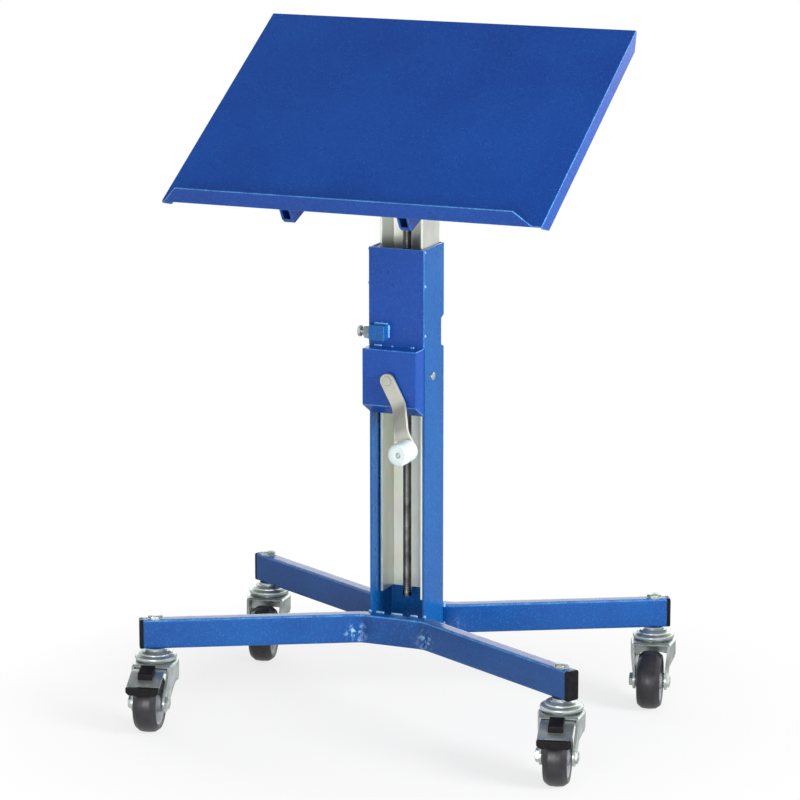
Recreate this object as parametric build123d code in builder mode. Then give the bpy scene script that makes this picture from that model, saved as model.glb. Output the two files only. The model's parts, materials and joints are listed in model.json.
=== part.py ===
from build123d import *
import os
from math import atan2, cos, degrees, hypot, pi, radians, sin, sqrt, tan

os.makedirs("parts", exist_ok=True)

# A mobile material stand: four casters under two bent tubes, a column with a crank-driven
# telescopic mast, and a tray that tilts on top. Front is -Y, the user's right is +X.
# The origin lies on the floor, under the spindle.

# Fits and cutting allowance
running_gap = 0.05
loose_gap = 0.3
overrun = 1.0

# Casters
wheel_radius = 40.0
wheel_width = 32.0
tread_rounding = 9.0
tyre_depth = 11.0
tyre_seat_rounding = 1.5
hub_length = 38.0
hub_radius = 12.0
hub_web = 8.0
rim_depth = 4.0
axle_radius = 6.0
axle_head_height = 5.5
axle_head_flats = 17.0
axle_nut_height = 4.0
axle_end = 0.8
caster_height = 106.0
caster_trail = 40.0
caster_turn = 13.5
fork_wall = 3.0
fork_hub_gap = 1.0
fork_boss_radius = 13.0
fork_crown_top = 89.0
fork_crown_radius = 31.0
fork_crown_height = 25.0
fork_shoulder_z = 66.0
fork_waist_z = 52.5
fork_bend = 4.0
fork_waist_bend = 9.0
fork_arch_top = 80.0
fork_arch_rounding = 9.0
lower_race_radius = 22.0
lower_race_height = 1.7
head_radius = 28.5
head_height = 12.0
head_top_radius = 17.0
head_rounding = 5.0
head_groove = 1.6
spacer_radius = 13.0
caster_bolt_radius = 6.0
caster_bolt_flats = 17.0
caster_bolt_head_height = 4.5
caster_bolt_washer_radius = 10.0
caster_bolt_washer_height = 1.0
caster_nut_height = 8.0

# Brake pedals of the two front casters
pedal_wall = 2.0
pedal_pivot_y = -16.0
pedal_pivot_z = 80.0
pedal_pin_radius = 3.0
pedal_pin_head = 1.5
pedal_ear_radius = 5.5
pedal_neck_half = 21.0
pedal_half = 22.5
pedal_start_y = -20.0
pedal_shoulder_y = -37.0
pedal_top_z = 85.0
pedal_crest_y = -50.0
pedal_tip_y = -78.0
pedal_tip_z = 73.0
pedal_bar_height = 11.0
pedal_bar_depth = 7.0
pedal_bar_chamfer = 4.0
pedal_pad_width = 20.0
pedal_pad_lead = 6.0
pedal_pad_run = 16.0
pedal_pad_height = 9.0

# Base tubes
tube_height = 40.0
tube_width = 20.0
tube_wall = 2.0
tube_corner = 3.0
tube_bend_radius = 45.0
bolt_x = 293.0
bolt_y = 181.0
tube_bend_x = 47.0
tube_end_past_bolt = 16.5
cap_thickness = 5.5
cap_plug_length = 6.0
cap_rounding = 1.2

# Column
column_width = 80.0
column_depth = 70.0
column_wall = 3.0
column_bend = 5.0
column_top = 650.0
notch_bottom = 507.0
notch_height = 47.0
notch_depth = 13.0
notch_slant = 5.5
notch_reach = 10.0
panel_thickness = 3.0
panel_rounding = 0.8

# Guides between column and mast
guide_clearance = 0.15
guide_height = 40.0
guide_width = 44.0
upper_guide_z = 628.0
lower_guide_z = 475.0
guide_screw_y = -10.0
guide_screw_radius = 3.0
guide_screw_head_radius = 5.5
guide_screw_head_height = 3.0

# Adjusting screw on the column front
block_left = 33.0
block_width = 22.0
block_depth = 17.0
block_height = 20.0
block_above_housing = 10.0
block_rounding = 1.0
block_end_wall = 4.0
adjuster_radius = 4.0
adjuster_offset = 10.0
adjuster_length = 31.0
adjuster_head_height = 4.0
adjuster_head_flats = 13.0
lock_nut_height = 8.0
lock_nut_radius = 9.7

# Gear housing on the column front
housing_width = 78.0
housing_depth = 28.0
housing_wall = 2.5
housing_above_crank = 40.5
housing_below_crank = 36.5
housing_slope_drop = 16.0
housing_rounding = 1.5

# Crank drive
crank_z = 476.5
shaft_radius = 6.0
bush_radius = 8.0
bush_flange_radius = 9.5
bush_flange = 1.6
bush_inner_length = 9.0
gear_pitch_radius = 18.0
gear_teeth = 16
gear_face = 7.0
gear_backlash_share = 0.42
gear_root_share = 1.25
gear_low_share = 1.5
gear_neck_share = 0.33
gear_hub_length = 9.0
gear_hub_radius = 11.0
gear_pressure_angle = 20.0
shelf_thickness = 8.0
shelf_width = 56.0
shelf_reach = 22.0
shelf_nose_setback = 7.0
thrust_washer_height = 3.0
thrust_washer_radius = 15.0
nut_spigot_radius = 9.0
spindle_radius = 6.0
spindle_bottom = 163.0
spindle_end_rounding = 2.0

# Crank
crank_angle = 28.0
crank_radius = 94.0
crank_offset = 30.0
crank_first_run = 36.0
crank_slope_run = 34.5
crank_width = 20.0
crank_thickness = 5.0
crank_bend = 20.0
crank_gap = 1.4
grip_radius = 15.0
grip_length = 36.0
grip_front_rounding = 8.0
grip_back_rounding = 5.0
grip_bolt_radius = 4.0
grip_bolt_head_radius = 6.0
grip_bolt_head_height = 2.5
grip_recess = 1.0
grip_collar_radius = 8.0
grip_collar_height = 1.0

# Mast
mast_width = 70.0
mast_depth = 61.0
mast_wall = 3.0
mast_bend = 4.0
mast_back = 30.0
mast_left_flange = 41.0
mast_bottom = 169.0
mast_top = 766.0
head_plate = 8.0
ear_thickness = 6.0
ear_half_depth = 20.0
ear_bottom = 716.0
pivot_z = 788.0
pivot_radius = 8.0
pivot_ear_radius = 18.0
pivot_head_radius = 13.0
pivot_head_height = 5.0
spindle_nut_height = 10.0
spindle_nut_flats = 19.0

# Tilt clamp
tilt_at_rest = 31.0
tilt_flat = 0.0
tilt_steep = 45.0
down_angle = -90.0
quadrant_thickness = 5.0
quadrant_slot_radius = 58.0
quadrant_rim = 12.0
quadrant_end_angle = 12.0
quadrant_hub_radius = 20.0
clamp_radius = 5.0
clamp_slot_gap = 0.3
clamp_spacer_radius = 9.0
clamp_end = 3.0
lever_hub_radius = 11.0
lever_hub_length = 20.0
lever_washer = 2.0
lever_length = 66.0
lever_root_radius = 6.5
lever_tip_radius = 5.0
lever_knob_radius = 8.5
lever_angle = -20.0

# Table
table_width = 532.0
table_length = 408.0
table_sheet = 2.0
table_over_pivot = 45.0
table_bend = 4.0
flange_height = 22.0
flange_corner = 19.0
lip_height = 23.0
lip_left_inset = 4.0
lip_right_inset = 14.0
arm_left_x = -92.0
arm_right_x = 73.0
arm_width = 15.5
arm_wall = 2.5
arm_flange = 6.0
arm_front_depth = 22.0
arm_front_step = 4.0
arm_shoulder_depth = 30.0
arm_middle_depth = 63.0
arm_middle_half = 24.0
arm_rear_depth = 24.0
arm_front_inset = 3.0
arm_rear_inset = 12.0

# Places worked out from the sizes above
tube_bottom = caster_height
tube_top = caster_height + tube_height
tube_y = (column_depth + tube_width) / 2
leg_run = hypot(bolt_x - tube_bend_x, bolt_y - tube_y)
leg_dx = (bolt_x - tube_bend_x) / leg_run
leg_dy = (bolt_y - tube_y) / leg_run
end_x = bolt_x + leg_dx * tube_end_past_bolt
end_y = bolt_y + leg_dy * tube_end_past_bolt
column_front = -column_depth / 2
inner_half = column_width / 2 - column_wall
mast_half = mast_width / 2
mast_front = mast_back - mast_depth
caster_turned = radians(caster_turn)
caster_spots = {
    "front_left": (-bolt_x, -bolt_y),
    "front_right": (bolt_x, -bolt_y),
    "rear_left": (-bolt_x, bolt_y),
    "rear_right": (bolt_x, bolt_y),
}
fork_half = hub_length / 2 + fork_hub_gap + fork_wall
head_bottom = fork_crown_top + lower_race_height + loose_gap
housing_top = crank_z + housing_above_crank
housing_bottom = crank_z - housing_below_crank
block_bottom = housing_top + block_above_housing
housing_front = column_front - housing_depth
shelf_top = crank_z - gear_pitch_radius - gear_hub_length - thrust_washer_height
arm_back_y = housing_front - bush_flange - crank_gap
grip_y = arm_back_y - crank_thickness - crank_offset
crank_dx = sin(radians(crank_angle))
crank_dz = -cos(radians(crank_angle))
grip_x = crank_radius * crank_dx
grip_z = crank_z + crank_radius * crank_dz
clamp_z = pivot_z - quadrant_slot_radius
quadrant_x = arm_right_x - arm_width / 2 - quadrant_thickness
ear_outer = mast_half + ear_thickness

tilt = radians(tilt_at_rest)
table_plane = Plane(
    origin=(0, -table_over_pivot * sin(tilt), pivot_z + table_over_pivot * cos(tilt)),
    x_dir=(1, 0, 0),
    z_dir=(0, -sin(tilt), cos(tilt)),
)


def caster_seat(spot):
    """Level plane on the floor under a caster bolt; the wheel trails along its -Y."""
    x, y = spot
    return Plane(
        origin=(x, y, 0),
        x_dir=(cos(caster_turned), sin(caster_turned), 0),
        z_dir=(0, 0, 1),
    )


def side_plane(seat, offset=0.0):
    """Upright plane of a caster, seen along its axle: first axis to the rear, second up."""
    return Plane(origin=seat.origin + seat.x_dir * offset, x_dir=seat.y_dir, z_dir=seat.x_dir)


def axle_plane(seat):
    """Upright plane through the axle: first axis along the axle, second up."""
    centre = seat.from_local_coords(Vector(0, -caster_trail, wheel_radius))
    return Plane(origin=centre, x_dir=seat.x_dir, z_dir=seat.y_dir * -1)


def save(piece, name):
    piece.part.label = name
    export_step(piece.part, "parts/" + name + ".step")


# Base tubes: one bent rectangular tube in front of the column, its twin behind it
def bent_tube(side):
    with BuildPart() as tube:
        with BuildLine() as route:
            FilletPolyline(
                (-end_x, side * end_y, tube_bottom + tube_height / 2),
                (-tube_bend_x, side * tube_y, tube_bottom + tube_height / 2),
                (tube_bend_x, side * tube_y, tube_bottom + tube_height / 2),
                (end_x, side * end_y, tube_bottom + tube_height / 2),
                radius=tube_bend_radius,
            )
        start = Plane(
            origin=route.line @ 0, x_dir=(0, 0, 1), z_dir=route.line % 0
        )
        with BuildSketch(start):
            RectangleRounded(tube_height, tube_width, tube_corner)
            RectangleRounded(
                tube_height - 2 * tube_wall,
                tube_width - 2 * tube_wall,
                tube_corner - tube_wall,
                mode=Mode.SUBTRACT,
            )
        sweep(path=route.line)
        with BuildSketch(Plane.XY.offset(tube_bottom - overrun)):
            with Locations((-bolt_x, side * bolt_y), (bolt_x, side * bolt_y)):
                Circle(caster_bolt_radius + loose_gap)
        extrude(amount=tube_height + 2 * overrun, mode=Mode.SUBTRACT)
    return tube


front_leg_tube = bent_tube(-1)
save(front_leg_tube, "front_leg_tube")
rear_leg_tube = bent_tube(1)
save(rear_leg_tube, "rear_leg_tube")

with BuildPart() as leg_end_caps:
    for side_x in (-1, 1):
        for side_y in (-1, 1):
            mouth = Plane(
                origin=(side_x * end_x, side_y * end_y, tube_bottom + tube_height / 2),
                x_dir=(0, 0, 1),
                z_dir=(side_x * leg_dx, side_y * leg_dy, 0),
            )
            with BuildSketch(mouth):
                RectangleRounded(tube_height, tube_width, tube_corner)
            flange = extrude(amount=cap_thickness)
            chamfer(flange.faces().sort_by(Axis(mouth.origin, mouth.z_dir))[-1].edges(), cap_rounding)
            with BuildSketch(mouth):
                RectangleRounded(
                    tube_height - 2 * (tube_wall + loose_gap),
                    tube_width - 2 * (tube_wall + loose_gap),
                    tube_corner - tube_wall,
                )
            extrude(amount=-cap_plug_length)
save(leg_end_caps, "leg_end_caps")

# Caster parts that stay with the base
nut_top = fork_crown_top - fork_wall - loose_gap
bolt_tip = nut_top - caster_nut_height - loose_gap
with BuildPart() as caster_bolts:
    for spot in caster_spots.values():
        with BuildSketch(Plane(origin=(*spot, tube_top))):
            Circle(caster_bolt_washer_radius)
        extrude(amount=caster_bolt_washer_height)
        with BuildSketch(Plane(origin=(*spot, tube_top + caster_bolt_washer_height))):
            RegularPolygon(caster_bolt_flats / 2, 6, major_radius=False)
        extrude(amount=caster_bolt_head_height)
        with BuildSketch(Plane(origin=(*spot, tube_top))):
            Circle(caster_bolt_radius)
        extrude(amount=-(tube_top - bolt_tip))
save(caster_bolts, "caster_bolts")

with BuildPart() as caster_nuts:
    for spot in caster_spots.values():
        with BuildSketch(Plane(origin=(*spot, nut_top))):
            RegularPolygon(caster_bolt_flats / 2, 6, major_radius=False)
            Circle(caster_bolt_radius, mode=Mode.SUBTRACT)
        extrude(amount=-caster_nut_height)
save(caster_nuts, "caster_nuts")

with BuildPart() as caster_spacers:
    for spot in caster_spots.values():
        with BuildSketch(Plane(origin=(*spot, head_bottom + head_height))):
            Circle(spacer_radius)
            Circle(caster_bolt_radius + loose_gap, mode=Mode.SUBTRACT)
        extrude(amount=tube_bottom - head_bottom - head_height)
save(caster_spacers, "caster_spacers")

with BuildPart() as swivel_heads:
    for x, y in caster_spots.values():
        with BuildSketch(Plane(origin=(x, y, 0), x_dir=(1, 0, 0), z_dir=(0, -1, 0))) as head_profile:
            with BuildLine():
                Polyline(
                    (caster_bolt_radius + loose_gap, head_bottom),
                    (head_radius, head_bottom),
                    (head_radius, head_bottom + head_height / 2),
                    (head_top_radius, head_bottom + head_height - head_groove),
                    (head_top_radius - head_groove, head_bottom + head_height),
                    (caster_bolt_radius + loose_gap, head_bottom + head_height),
                    close=True,
                )
            make_face()
            shoulder = head_profile.vertices().sort_by(Axis.X)[-2:]
            fillet(shoulder.sort_by(Axis.Y)[-1], head_rounding)
        revolve(axis=Axis((x, y, 0), (0, 0, 1)))
save(swivel_heads, "swivel_heads")


# Swivelling parts of one caster
def nose_plane(seat, offset):
    """Upright plane across a caster, seen from its front: first axis to the right, second up."""
    return Plane(origin=seat.origin + seat.y_dir * offset, x_dir=seat.x_dir, z_dir=seat.y_dir * -1)


def fork_form(seat, inset):
    """The pressed bowl by its plan and its front view; an inset gives its inner form."""
    crown = fork_crown_radius - inset
    waist = fork_half - inset
    top = fork_crown_top - inset
    reach = caster_trail + fork_boss_radius
    with BuildPart() as form:
        with BuildSketch(seat):
            Circle(crown)
            with Locations((0, (inset - reach) / 2)):
                Rectangle(2 * waist, reach - inset)
            make_hull()
        extrude(amount=top)
        with BuildSketch(nose_plane(seat, crown)) as front:
            with BuildLine():
                Polyline(
                    (-crown, top),
                    (crown, top),
                    (crown, fork_shoulder_z),
                    (waist, fork_waist_z),
                    (waist, 0),
                    (-waist, 0),
                    (-waist, fork_waist_z),
                    (-crown, fork_shoulder_z),
                    close=True,
                )
            make_face()
            folds = front.vertices().group_by(Axis.Y)[1:3]
            fillet(folds[0] + folds[1], fork_waist_bend)
        extrude(amount=crown + reach, mode=Mode.INTERSECT)
    return form


def fork(seat, carries_pedal):
    arch_half = fork_half - fork_wall
    reach = caster_trail + fork_boss_radius
    with BuildPart() as piece:
        add(fork_form(seat, 0).part)
        with BuildSketch(side_plane(seat, -fork_crown_radius)):
            with Locations((0, fork_crown_top - fork_crown_height / 2)):
                Rectangle(2 * fork_crown_radius, fork_crown_height)
            with Locations((-caster_trail, wheel_radius)):
                Circle(fork_boss_radius)
            make_hull()
        extrude(amount=2 * fork_crown_radius, mode=Mode.INTERSECT)
        fillet(piece.faces().sort_by(Axis.Z)[-1].edges(), fork_bend)
        add(fork_form(seat, fork_wall).part, mode=Mode.SUBTRACT)
        with BuildSketch(nose_plane(seat, 0)):
            with Locations((0, (fork_crown_top - fork_wall) / 2)):
                Rectangle(2 * arch_half, fork_crown_top - fork_wall)
        extrude(amount=reach + overrun, mode=Mode.SUBTRACT)
        with BuildSketch(nose_plane(seat, 0)) as arch:
            with Locations((0, fork_arch_top / 2)):
                Rectangle(2 * arch_half, fork_arch_top)
            fillet(arch.vertices().group_by(Axis.Y)[-1], fork_arch_rounding)
        extrude(amount=-fork_crown_radius - overrun, mode=Mode.SUBTRACT)
        with BuildSketch(Plane(origin=seat.from_local_coords(Vector(0, 0, fork_crown_top)))):
            Circle(lower_race_radius)
        extrude(amount=lower_race_height)
        race_top = Vector(0, 0, fork_crown_top + lower_race_height)
        with BuildSketch(Plane(origin=seat.from_local_coords(race_top))):
            Circle(caster_bolt_radius + running_gap)
        extrude(amount=-lower_race_height - 2 * fork_wall, mode=Mode.SUBTRACT)
        with BuildSketch(side_plane(seat, -fork_half - overrun)):
            with Locations((-caster_trail, wheel_radius)):
                Circle(axle_radius)
        extrude(amount=2 * (fork_half + overrun), mode=Mode.SUBTRACT)
        if carries_pedal:
            pin_root = (fork_half + fork_crown_radius) / 2
            pin_end = pedal_neck_half - pedal_wall - loose_gap
            for side in (-1, 1):
                cheek = Plane(
                    origin=seat.from_local_coords(Vector(side * pin_root, pedal_pivot_y, pedal_pivot_z)),
                    x_dir=seat.y_dir,
                    z_dir=seat.x_dir * -side,
                )
                with BuildSketch(cheek):
                    Circle(pedal_pin_radius)
                extrude(amount=pin_root - pin_end)
                with BuildSketch(cheek.offset(pin_root - pin_end)):
                    Circle(pedal_pin_radius + pedal_pin_head)
                extrude(amount=pedal_pin_head)
    return piece


def axle(seat):
    with BuildPart() as piece:
        with BuildSketch(side_plane(seat, -fork_half)):
            with Locations((-caster_trail, wheel_radius)):
                Circle(axle_radius)
        extrude(amount=2 * fork_half + axle_nut_height + axle_end)
        with BuildSketch(side_plane(seat, -fork_half)):
            with Locations((-caster_trail, wheel_radius)):
                RegularPolygon(axle_head_flats / 2, 6, major_radius=False)
        extrude(amount=-axle_head_height)
        with BuildSketch(side_plane(seat, fork_half)):
            with Locations((-caster_trail, wheel_radius)):
                RegularPolygon(axle_head_flats / 2, 6, major_radius=False)
        extrude(amount=axle_nut_height)
    return piece


def tyre(seat):
    plane = axle_plane(seat)
    inner = wheel_radius - tyre_depth
    with BuildPart() as piece:
        with BuildSketch(plane) as profile:
            with Locations((0, inner + tyre_depth / 2)):
                Rectangle(wheel_width, tyre_depth)
            fillet(profile.vertices().group_by(Axis.Y)[-1], tread_rounding)
            fillet(profile.vertices().group_by(Axis.Y)[0], tyre_seat_rounding)
        revolve(axis=Axis(plane.origin, plane.x_dir))
    return piece


def hub(seat):
    plane = axle_plane(seat)
    rim = wheel_radius - tyre_depth
    half = wheel_width / 2 - tyre_seat_rounding
    with BuildPart() as piece:
        with BuildSketch(plane):
            with Locations((0, (hub_radius + axle_radius + running_gap) / 2)):
                Rectangle(hub_length, hub_radius - axle_radius - running_gap)
            with Locations((0, (rim + hub_radius) / 2 - overrun / 2)):
                Rectangle(hub_web, rim - hub_radius + overrun)
            with BuildLine():
                Polyline(
                    (-half, rim),
                    (half, rim),
                    (half, rim - rim_depth / 2),
                    (hub_web / 2, rim - 2 * rim_depth),
                    (-hub_web / 2, rim - 2 * rim_depth),
                    (-half, rim - rim_depth / 2),
                    close=True,
                )
            make_face()
        revolve(axis=Axis(plane.origin, plane.x_dir))
    return piece


# Brake pedal: a bent plate over the wheel, pivoted between the fork's cheeks
def brake_pedal(seat):
    slope = atan2(pedal_top_z - pedal_tip_z, pedal_crest_y - pedal_tip_y)
    crest_fold = pedal_wall * tan(slope / 2)
    with BuildPart() as piece:
        with BuildSketch(side_plane(seat, -pedal_half)):
            with BuildLine():
                Polyline(
                    (pedal_start_y, pedal_top_z),
                    (pedal_crest_y, pedal_top_z),
                    (pedal_tip_y, pedal_tip_z),
                    (pedal_tip_y, pedal_tip_z - pedal_wall / cos(slope)),
                    (pedal_crest_y + crest_fold, pedal_top_z - pedal_wall),
                    (pedal_start_y, pedal_top_z - pedal_wall),
                    close=True,
                )
            make_face()
        extrude(amount=2 * pedal_half)
        with BuildSketch(seat):
            with Locations((0, (pedal_tip_y + pedal_shoulder_y) / 2)):
                Rectangle(2 * pedal_half, pedal_shoulder_y - pedal_tip_y)
            with Locations((0, pedal_shoulder_y / 2)):
                Rectangle(2 * pedal_neck_half, -pedal_shoulder_y)
        extrude(amount=caster_height, mode=Mode.INTERSECT)
        for side in (-pedal_neck_half, pedal_neck_half - pedal_wall):
            with BuildSketch(side_plane(seat, side)):
                with Locations((pedal_pivot_y, pedal_pivot_z)):
                    Circle(pedal_ear_radius)
                with Locations(((pedal_start_y + pedal_shoulder_y) / 2, pedal_top_z - pedal_wall / 2)):
                    Rectangle(pedal_start_y - pedal_shoulder_y, pedal_wall)
                make_hull()
            extrude(amount=pedal_wall)
        with BuildSketch(side_plane(seat, -pedal_half)):
            with Locations((pedal_pivot_y, pedal_pivot_z)):
                Circle(pedal_pin_radius + running_gap)
        extrude(amount=2 * pedal_half, mode=Mode.SUBTRACT)
    return piece


# Black plastic on the pedal: an edge bar at the tip and a release pad on the slope
def pedal_pads(seat):
    fall = (pedal_top_z - pedal_tip_z) / (pedal_crest_y - pedal_tip_y)
    pad_end_z = pedal_top_z - fall * pedal_pad_run
    with BuildPart() as piece:
        with BuildSketch(nose_plane(seat, pedal_tip_y)) as bar:
            with Locations((0, pedal_tip_z - pedal_bar_height / 2)):
                Rectangle(2 * pedal_half, pedal_bar_height)
            chamfer(bar.vertices().group_by(Axis.Y)[0], pedal_bar_chamfer)
        extrude(amount=pedal_bar_depth)
        with BuildSketch(side_plane(seat, -pedal_pad_width / 2)) as pad:
            with BuildLine():
                Polyline(
                    (pedal_crest_y + pedal_pad_lead, pedal_top_z),
                    (pedal_crest_y, pedal_top_z),
                    (pedal_crest_y - pedal_pad_run, pad_end_z),
                    (pedal_crest_y - pedal_pad_run, pad_end_z + pedal_pad_height),
                    (pedal_crest_y + pedal_pad_lead, pedal_top_z + pedal_pad_height),
                    close=True,
                )
            make_face()
            fillet(pad.vertices().group_by(Axis.Y)[-2] + pad.vertices().group_by(Axis.Y)[-1], pedal_wall)
        extrude(amount=pedal_pad_width)
    return piece


for spot_name, spot in caster_spots.items():
    seat = caster_seat(spot)
    braked = spot_name.startswith("front")
    save(fork(seat, braked), spot_name + "_fork")
    save(axle(seat), spot_name + "_axle")
    save(tyre(seat), spot_name + "_tyre")
    save(hub(seat), spot_name + "_hub")
    if braked:
        save(brake_pedal(seat), spot_name + "_brake_pedal")
        save(pedal_pads(seat), spot_name + "_pedal_pads")


# Column: a channel open to the front, standing between the two base tubes
with BuildPart() as column:
    with BuildSketch(Plane.XY.offset(tube_bottom)) as section:
        Rectangle(column_width, column_depth)
        fillet(section.vertices().group_by(Axis.Y)[-1], column_bend)
        with BuildSketch(mode=Mode.SUBTRACT) as hollow:
            with Locations((0, -column_wall)):
                Rectangle(2 * inner_half, column_depth)
            fillet(hollow.vertices().group_by(Axis.Y)[-1], column_bend - column_wall)
    extrude(amount=column_top - tube_bottom)
    with BuildSketch(Plane(origin=(column_width / 2 + overrun, 0, 0), x_dir=(0, 1, 0), z_dir=(1, 0, 0))):
        with BuildLine():
            Polyline(
                (column_depth / 2 + overrun, notch_bottom),
                (column_depth / 2, notch_bottom),
                (column_depth / 2 - notch_depth, notch_bottom + notch_slant),
                (column_depth / 2 - notch_depth, notch_bottom + notch_height - notch_slant),
                (column_depth / 2, notch_bottom + notch_height),
                (column_depth / 2 + overrun, notch_bottom + notch_height),
                close=True,
            )
        make_face()
    extrude(amount=-notch_reach - overrun, mode=Mode.SUBTRACT)
    with BuildSketch(Plane(origin=(-column_width / 2 - overrun, 0, 0), x_dir=(0, 1, 0), z_dir=(1, 0, 0))):
        with Locations((guide_screw_y, lower_guide_z)):
            Circle(guide_screw_radius + running_gap)
    extrude(amount=column_width + 2 * overrun, mode=Mode.SUBTRACT)
save(column, "column")

with BuildPart() as column_front_panel:
    with BuildSketch(Plane.XZ.offset(-column_front)) as face:
        with Locations((0, (column_top + housing_top) / 2)):
            Rectangle(column_width, column_top - housing_top)
        fillet(face.vertices(), panel_rounding)
    extrude(amount=panel_thickness)
save(column_front_panel, "column_front_panel")

# Plastic guides that line the column; two of them are held by screws through its sides
guide_thickness = inner_half - mast_half - guide_clearance
guide_y = mast_back - mast_wall - guide_width / 2
with BuildPart() as guide_pads:
    for z in (upper_guide_z, lower_guide_z):
        for side in (-1, 1):
            with BuildSketch(Plane.YZ.offset(side * (inner_half - guide_thickness / 2))):
                with Locations((guide_y, z)):
                    Rectangle(guide_width, guide_height)
            extrude(amount=guide_thickness / 2, both=True)
        back_gap = column_depth / 2 - column_wall - mast_back - guide_clearance
        with BuildSketch(Plane.XZ.offset(-mast_back - guide_clearance)):
            with Locations((0, z)):
                Rectangle(guide_width, guide_height)
        extrude(amount=-back_gap)
save(guide_pads, "guide_pads")

with BuildPart() as guide_screws:
    for side in (-1, 1):
        outside = Plane(
            origin=(side * column_width / 2, guide_screw_y, lower_guide_z),
            x_dir=(0, 1, 0),
            z_dir=(side, 0, 0),
        )
        with BuildSketch(outside):
            Circle(guide_screw_head_radius)
        extrude(amount=guide_screw_head_height)
        with BuildSketch(outside):
            Circle(guide_screw_radius)
        extrude(amount=-column_wall)
    heads = guide_screws.edges().filter_by(GeomType.CIRCLE).sort_by(Axis.X)
    fillet([heads[0], heads[-1]], guide_screw_head_height / 2)
save(guide_screws, "guide_screws")

# Adjusting screw: a welded block on the panel, a screw with its lock nut, pointing left
adjuster_y = column_front - panel_thickness - adjuster_offset
adjuster_z = block_bottom + block_height / 2
block_right = -block_left + block_width
with BuildPart() as clamp_block:
    with BuildSketch(Plane.XZ.offset(-column_front + panel_thickness)) as face:
        with Locations((-block_left + block_width / 2, adjuster_z)):
            Rectangle(block_width, block_height)
        fillet(face.vertices(), block_rounding)
    extrude(amount=block_depth)
    with BuildSketch(Plane.YZ.offset(-block_left - overrun)):
        with Locations((adjuster_y, adjuster_z)):
            Circle(adjuster_radius + running_gap)
    extrude(amount=block_width - block_end_wall + overrun, mode=Mode.SUBTRACT)
save(clamp_block, "clamp_block")

with BuildPart() as adjusting_screw:
    with BuildSketch(Plane.YZ.offset(block_right - block_end_wall)):
        with Locations((adjuster_y, adjuster_z)):
            Circle(adjuster_radius)
    extrude(amount=block_end_wall - adjuster_length - adjuster_head_height)
    with BuildSketch(Plane.YZ.offset(block_right - adjuster_length - adjuster_head_height)):
        with Locations((adjuster_y, adjuster_z)):
            RegularPolygon(adjuster_head_flats / 2, 6, major_radius=False)
    extrude(amount=-adjuster_head_height)
save(adjusting_screw, "adjusting_screw")

with BuildPart() as lock_nut:
    with BuildSketch(Plane.YZ.offset(-block_left)):
        with Locations((adjuster_y, adjuster_z)):
            RegularPolygon(lock_nut_radius, 6)
            Circle(adjuster_radius + running_gap, mode=Mode.SUBTRACT)
    extrude(amount=-lock_nut_height)
save(lock_nut, "lock_nut")

# Gear housing: a folded cover with a sloping lower end, open towards the column
with BuildPart() as gear_housing:
    with BuildSketch(Plane.YZ.offset(-housing_width / 2)):
        with BuildLine():
            Polyline(
                (column_front, housing_top),
                (housing_front, housing_top),
                (housing_front, housing_bottom),
                (column_front, housing_bottom - housing_slope_drop),
                close=True,
            )
        make_face()
    extrude(amount=housing_width)
    upright = gear_housing.edges().filter_by(Axis.Z).group_by(Axis.Y)[0]
    fillet(upright, housing_rounding)
    with BuildSketch(Plane.YZ.offset(-housing_width / 2 + housing_wall)):
        with BuildLine():
            Polyline(
                (column_front + overrun, housing_top - housing_wall),
                (housing_front + housing_wall, housing_top - housing_wall),
                (housing_front + housing_wall, housing_bottom + housing_wall),
                (column_front, housing_bottom - housing_slope_drop + housing_wall),
                (column_front + overrun, housing_bottom - housing_slope_drop + housing_wall),
                close=True,
            )
        make_face()
    extrude(amount=housing_width - 2 * housing_wall, mode=Mode.SUBTRACT)
    with BuildSketch(Plane.XZ.offset(-housing_front + overrun)):
        with Locations((0, crank_z)):
            Circle(bush_radius + running_gap)
    extrude(amount=-housing_wall - 2 * overrun, mode=Mode.SUBTRACT)
save(gear_housing, "gear_housing")

# Bearing shelf: carries the spindle nut, reaches from the housing into the open mast
shelf_front = housing_front + housing_wall + shelf_nose_setback
with BuildPart() as gear_shelf:
    with BuildSketch(Plane.XY.offset(shelf_top)):
        with Locations((0, (shelf_reach + shelf_front) / 2)):
            Rectangle(shelf_width, shelf_reach - shelf_front)
        with Locations((0, (column_front + shelf_front) / 2)):
            Rectangle(housing_width - 2 * housing_wall, column_front - shelf_front)
    extrude(amount=-shelf_thickness)
    with BuildSketch(Plane.XY.offset(shelf_top + overrun)):
        Circle(nut_spigot_radius + running_gap)
    extrude(amount=-shelf_thickness - 2 * overrun, mode=Mode.SUBTRACT)
save(gear_shelf, "gear_shelf")

with BuildPart() as thrust_washer:
    with BuildSketch(Plane.XY.offset(shelf_top)):
        Circle(thrust_washer_radius)
        Circle(nut_spigot_radius + running_gap, mode=Mode.SUBTRACT)
    extrude(amount=thrust_washer_height)
save(thrust_washer, "thrust_washer")

with BuildPart() as crank_bush:
    with BuildSketch(Plane.XZ.offset(-housing_front)):
        with Locations((0, crank_z)):
            Circle(bush_flange_radius)
    extrude(amount=bush_flange)
    with BuildSketch(Plane.XZ.offset(-housing_front)):
        with Locations((0, crank_z)):
            Circle(bush_radius)
    extrude(amount=-bush_inner_length)
    with BuildSketch(Plane.XZ.offset(-housing_front + bush_flange + overrun)):
        with Locations((0, crank_z)):
            Circle(shaft_radius + running_gap)
    extrude(amount=-bush_inner_length - bush_flange - 2 * overrun, mode=Mode.SUBTRACT)
save(crank_bush, "crank_bush")


# Bevel gears at right angles, one to one; both cones meet where the two axes cross
gear_module = 2 * gear_pitch_radius / gear_teeth
cone_length = gear_pitch_radius * sqrt(2)
small_end = (cone_length - gear_face) / cone_length
apex = Vector(0, 0, crank_z)


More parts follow.
